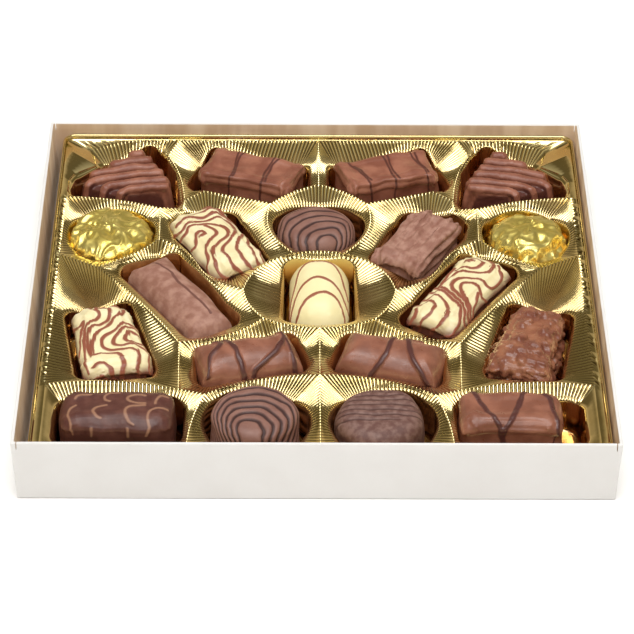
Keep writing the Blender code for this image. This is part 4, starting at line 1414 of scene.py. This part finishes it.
SWEETS = (
    Roped(1, 9, (36, 33, 16.8), MILK, side=1, smoothing=3),
    Sweet(2, -20, (37.5, 20.5, 17.4), MILK, corner=3.0, edge=2.2, relief=0.18, unevenness=0.5,
          shift=(1.2, -1.0),
          lines=(((-8.6, 16), (-8, 7), (-7, 0), (-5.6, -8), (-6, -20)), ((-4.6, 12), (-6.4, 6), (-5.6, -2),
                                                                         (-4.4, -9)),
                 ((6, 16), (6.8, 6), (6.2, -2), (7.4, -10), (7, -20)), ((10, 12), (8, 5), (7.6, -2),
                                                                        (8.6, -9))),
          ridges=(((-16.5, -14), (-16.5, -9.6), (-8, -9.9), (0, -9.3), (7, -9.9), (14.5, -9.4),
                   (16.4, -12), (16.5, -18)),
                  ((14.5, -9.4), (17.6, -2), (17.5, 7)))),
    Sweet(3, 17, (37.5, 20.5, 17.4), MILK, corner=3.0, edge=2.2, relief=0.18, unevenness=0.5,
          shift=(-0.8, -1.0),
          lines=(((-13.6, 12), (-13, 6), (-11.6, 0), (-10, -7), (-9.4, -20)), ((-12, 5), (-10.6, 0),
                                                                               (-8.6, -8)),
                 ((-1, 14), (0.2, 6), (0.4, -2), (0.2, -9), (0.4, -20)), ((2, 8), (1.6, 0), (1.8, -9)),
                 ((13, 14), (12.4, 5), (13.4, 0), (14, -9), (14.2, -20)), ((14.6, 7), (14, 2), (15.2, -8))),
          ridges=(((-17, -16), (-15.6, -9.6), (-8, -9.7), (0, -9.3), (8, -9.9), (16, -9.6), (17.4, -14)),
                  ((-15.6, -9.6), (-17.5, -3), (-17.5, 6)))),
    Roped(4, -9, (36, 33, 16.8), MILK, side=-1, smoothing=3),
    Foiled(5, 0, (33, 33, 18.2), FoilFinish(), corner=0, edge=6.0, crown=1.6, shift=(-0.6, 0.0),
           smoothing=2),
    Sweet(6, -62, (41.0, 22.0, 17.8), MARBLED, lines=MARBLE_06, crown=1.2, shift=(0.4, -0.8)),
    Arched(7, 0, (30.4, 30.4, 17.0), DUSKY, corner=0, edge=5.5, crown=1.6, focus=(6.0, -14.5),
           pitch=(4.2, 4.2),
           wide_side=0.68),
    Bark(8, 61, (36, 20, 17.4), DUSTY, corner=4.0, edge=3.5, shift=(-1.6, -1.8)),
    Foiled(9, 0, (31, 31, 17.8), FoilFinish(), corner=0, edge=7.5, crown=2.4, smoothing=2),
    Sweet(10, -58, (49.5, 18.5, 17), DUSTY, edge=2.5, arch=8.0,
          lines=(((-25, 1.5), (-12, 2.0), (0, 1.6), (12, 2.4), (20, 2.2)),), relief=-0.3),
    Sweet(11, 90, (40, 22.5, 18.0), IVORY, shift=(0.0, 1.0), corner=9.5, edge=3.0, crown=2.0, relief=0.35,
          relief_half=0.8,
          unevenness=0.1, smoothing=45,
          lines=(((-14, 19), (-4, 15), (3, 12), (9, 9), (13, 4.5), (14, 0), (12.6, -5), (8.3, -9.6),
                  (2, -12.5), (-4, -17)),
                 ((-18, 19), (-12, 15), (-6.7, 11.5), (-2, 7), (0.6, 2.5), (1.2, -0.5), (-1.4, -5),
                  (-4.4, -9.4),
                  (-8, -13.5), (-12, -18)),
                 ((-25, 17), (-19.5, 12.5), (-13, 7), (-9, 1.5), (-8.2, -2), (-9.4, -6), (-12, -9.6),
                  (-17, -13.6), (-22, -18)))),
    Sweet(12, 59.5, (46, 20, 17.2), MARBLED, lines=MARBLE_12, crown=1.2, shift=(0.6, 0.4)),
    Sweet(13, -76, (38.5, 22.5, 17.6), MARBLED, lines=shifted(MARBLE_13, -2.2, 0.0), crown=1.2, taper=0.22,
          shift=(1.0, -1.4)),
    Sweet(14, 15, (38, 20.5, 19), DRIZZLED, edge=0.9, arch=8.5, relief=0.8, relief_half=1.3,
          shift=(-0.6, 1.0),
          smoothing=4,
          lines=(((-10.3, 14), (-10.3, 8.3), (-8.9, 4.5), (-11.2, 0.5), (-14.8, -3.2), (-16.7, -7.3),
                  (-17, -13)),
                 ((-6.8, 14), (-6.8, 8.9), (-5.8, 3.6), (-4.7, -1.4), (-4.1, -7.3), (-3.9, -13.2),
                  (-3.5, -18)),
                 ((-0.5, -18), (0.5, -14.1), (4.2, -11), (8.9, -5.7), (12.7, -1), (14.6, 3.1), (14, 6.8),
                  (13, 14)),
                 ((15.1, 3), (16, -4.2), (15.6, -11.1), (15.4, -18)))),
    Sweet(15, -15, (38, 20.5, 19), DRIZZLED, edge=0.9, arch=8.5, relief=0.8, relief_half=1.3,
          shift=(0.6, 1.0),
          smoothing=4,
          lines=(((-1, 14), (-1.2, 7.4), (-0.8, 2.3), (-0.7, -4), (-2.5, -10.3), (-5.1, -15.4), (-6, -18)),
                 ((9.1, 8.8), (7, 9.2), (5.3, 8.1), (4.8, 4.5), (7, -1.3), (10.1, -7.4), (13.8, -13.3),
                  (16, -16.5)))),
    Nutty(16, 72, (38.5, 20, 16.4), NUTTY, corner=5.0, edge=4.0, taper=-0.28, smoothing=3),
    Sweet(17, 0, (40.5, 22.0, 18.6), FEATHERED, relief=0.12, corner=6.0, edge=2.6, shift=(0.3, 1.2),
          lines=(((-3.4, -0.5), (-6.9, -1.5), (-8.3, -4), (-7.2, -6.4), (-5.4, -7.4)),
                 ((10, -0.5), (5.3, -1.3), (3.3, -3), (3, -5.4), (4.2, -8.9), (5.9, -10.2)),
                 ((19, -1), (15.2, -1.5), (12.3, -3), (11.2, -5.9), (11.7, -9.4), (12.3, -12), (11.2, -16)),
                 ((-14.4, -0.5), (-16.5, -2), (-17.3, -5), (-16.7, -8.4), (-16.5, -16)),
                 ((0.7, 7), (-2.8, 6.4), (-4.5, 5), (-4, 3), (-2.2, 2)),
                 ((10, 5), (6.5, 5.4), (4.2, 4.5), (3.9, 3), (5.9, 1), (10, 0.5)),
                 ((18, 6), (15.2, 5.5), (14, 3.5), (13.8, 1)), ((-15, 3.5), (-14, 5), (-10, 6)),
                 ((-8.6, -13), (-8.7, -17)), ((3.9, -12.6), (4, -17)))),
    Arched(18, 0, (31.5, 31.5, 18.8), DUSKY, corner=0, edge=4.5, crown=1.2, focus=(-2.4, -13.5),
           pitch=(2.3, 3.9),
           wide_side=1.6, groove=0.75, shift=(0.0, 1.6), core=0.6),
    Furrowed(19, 3, (31.5, 31.5, 18.2), FROSTED, shift=(0.0, 1.0), corner=0, edge=4.5, crown=1.2,
             pitch=(2.9, 2.9),
             groove=0.5),
    Sweet(20, 0, (36.5, 21, 18.4), DRIZZLED, relief=0.4, corner=5.0, edge=3.0, shift=(0.0, 1.2),
          lines=(((-13, 14), (-12.5, 7), (-9, -1.2), (-5.8, -8.5), (-3.6, -15), (-3, -19)),
                 ((5.4, 14), (5, 6.5), (3, 0.8), (0.5, -6.4), (-2, -11.9), (-3.3, -16)),
                 ((12, 14), (12, 7), (13.8, 4), (14.8, -1.2), (16.4, -6.4), (17.6, -12.5), (18, -18)))),
)


# ------------------------------------------------------------------ studio

@dataclass(frozen=True)
class SoftBox:
    """A soft light that looks at the middle of the tray."""

    name: str
    place: tuple[float, float, float]
    size: tuple[float, float]
    power: float                     # in watts
    mirrored: bool = True            # whether it shows in glossy skins

    def hang(self) -> None:
        """Hang the light."""
        deselect_all()
        bpy.ops.object.light_add(type="AREA", location=self.place)
        light = bpy.context.active_object
        light.name = self.name
        light.data.shape = "RECTANGLE"
        light.data.size, light.data.size_y = self.size
        light.data.energy = self.power
        light.rotation_euler = (-Vector(self.place)).to_track_quat("-Z", "Y").to_euler()
        light.visible_glossy = self.mirrored


@dataclass
class Studio:
    """A pale floor, soft lights and the camera, all in metres."""

    floor_reach: float = 4.0
    eye: tuple[float, float, float] = (-0.007, -0.944, 0.6783)
    yaw: float = 0.456
    pitch: float = 35.56
    roll: float = 0.451
    lens: float = 174.2
    # The room's colour, by how high the direction is that its light comes from
    room: tuple[tuple[float, Colour], ...] = (
        (0.0, (0.58, 0.51, 0.41)), (0.25, (0.54, 0.45, 0.32)), (0.45, (0.13, 0.105, 0.06)),
        (0.72, (0.12, 0.10, 0.06)), (0.97, (0.55, 0.52, 0.45)))
    boxes: tuple[SoftBox, ...] = (
        SoftBox("overhead_box", (0.0, -0.25, 1.2), (1.0, 0.4), 6.5),
        SoftBox("key_box", (0.0, -0.80, 1.0), (1.2, 0.35), 5.0),
        SoftBox("fill_box", (0.0, 0.2, 2.4), (3.5, 3.0), 43.0, mirrored=False))
    finish: FloorFinish = FloorFinish()

    def lay_floor(self) -> None:
        """Lay the floor just under the carton."""
        deselect_all()
        bpy.ops.mesh.primitive_plane_add(size=self.floor_reach, location=(0.0, 0.0, -0.0002))
        floor = bpy.context.active_object
        floor.name = "studio_floor"
        floor.data.materials.append(self.finish.material())

    def set_world(self) -> None:
        """Make the room round the lights dim and warm."""
        world = bpy.data.worlds.new("dim_room")
        world.use_nodes = True
        nodes = Nodes(world.node_tree)
        way = nodes.node("ShaderNodeTexCoord", output="Generated")
        height = nodes.node("ShaderNodeSeparateXYZ", None, {0: way}, "Z")
        colour = nodes.node("ShaderNodeValToRGB", {"stops": self.room}, {0: height})
        nodes.feed(nodes.tree.nodes["Background"].inputs["Color"], colour)
        bpy.context.scene.world = world

    def set_camera(self) -> None:
        """Set the camera up, looking down on the box from the front."""
        yaw, pitch, roll = (math.radians(angle) for angle in (self.yaw, self.pitch, self.roll))
        ahead = Vector((math.sin(yaw) * math.cos(pitch), math.cos(yaw) * math.cos(pitch), -math.sin(pitch)))
        right = Vector((math.cos(yaw), -math.sin(yaw), 0.0))
        up = right.cross(ahead)
        turned = math.cos(roll) * right + math.sin(roll) * up
        upright = math.cos(roll) * up - math.sin(roll) * right
        deselect_all()
        bpy.ops.object.camera_add(location=self.eye)
        camera = bpy.context.active_object
        frame_axes = Matrix((turned, upright, -ahead)).transposed().to_4x4()
        camera.matrix_world = Matrix.Translation(self.eye) @ frame_axes
        camera.data.lens = self.lens
        camera.data.clip_start = 0.01
        bpy.context.scene.camera = camera

    def build(self) -> None:
        """Set up the whole studio."""
        self.lay_floor()
        self.set_world()
        for box in self.boxes:
            box.hang()
        self.set_camera()
        bpy.context.scene.view_settings.view_transform = "Standard"


# ------------------------------------------------------------------ putting it together

def settle(piece: bpy.types.Object, node: str) -> None:
    """Set a piece on its body in the frame, in the place of the frame's plain solid.

    Args:
        piece: The finished piece.
        node: The solid that it replaces.
    """
    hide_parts(node)
    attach(piece, "root")
    log.info("%s: %d faces", piece.name, len(piece.data.polygons))


def main() -> None:
    """Build the sub-assemblies in order, and set each on its frame."""
    logging.basicConfig(level=logging.INFO, format="%(message)s")
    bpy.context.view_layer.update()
    Studio().build()
    settle(Carton().build(), "carton")
    settle(GoldTray().build(), "gold_tray")
    for sweet in SWEETS:
        settle(sweet.build(), f"praline_{sweet.number:02d}")


if __name__ == "__main__":
    main()
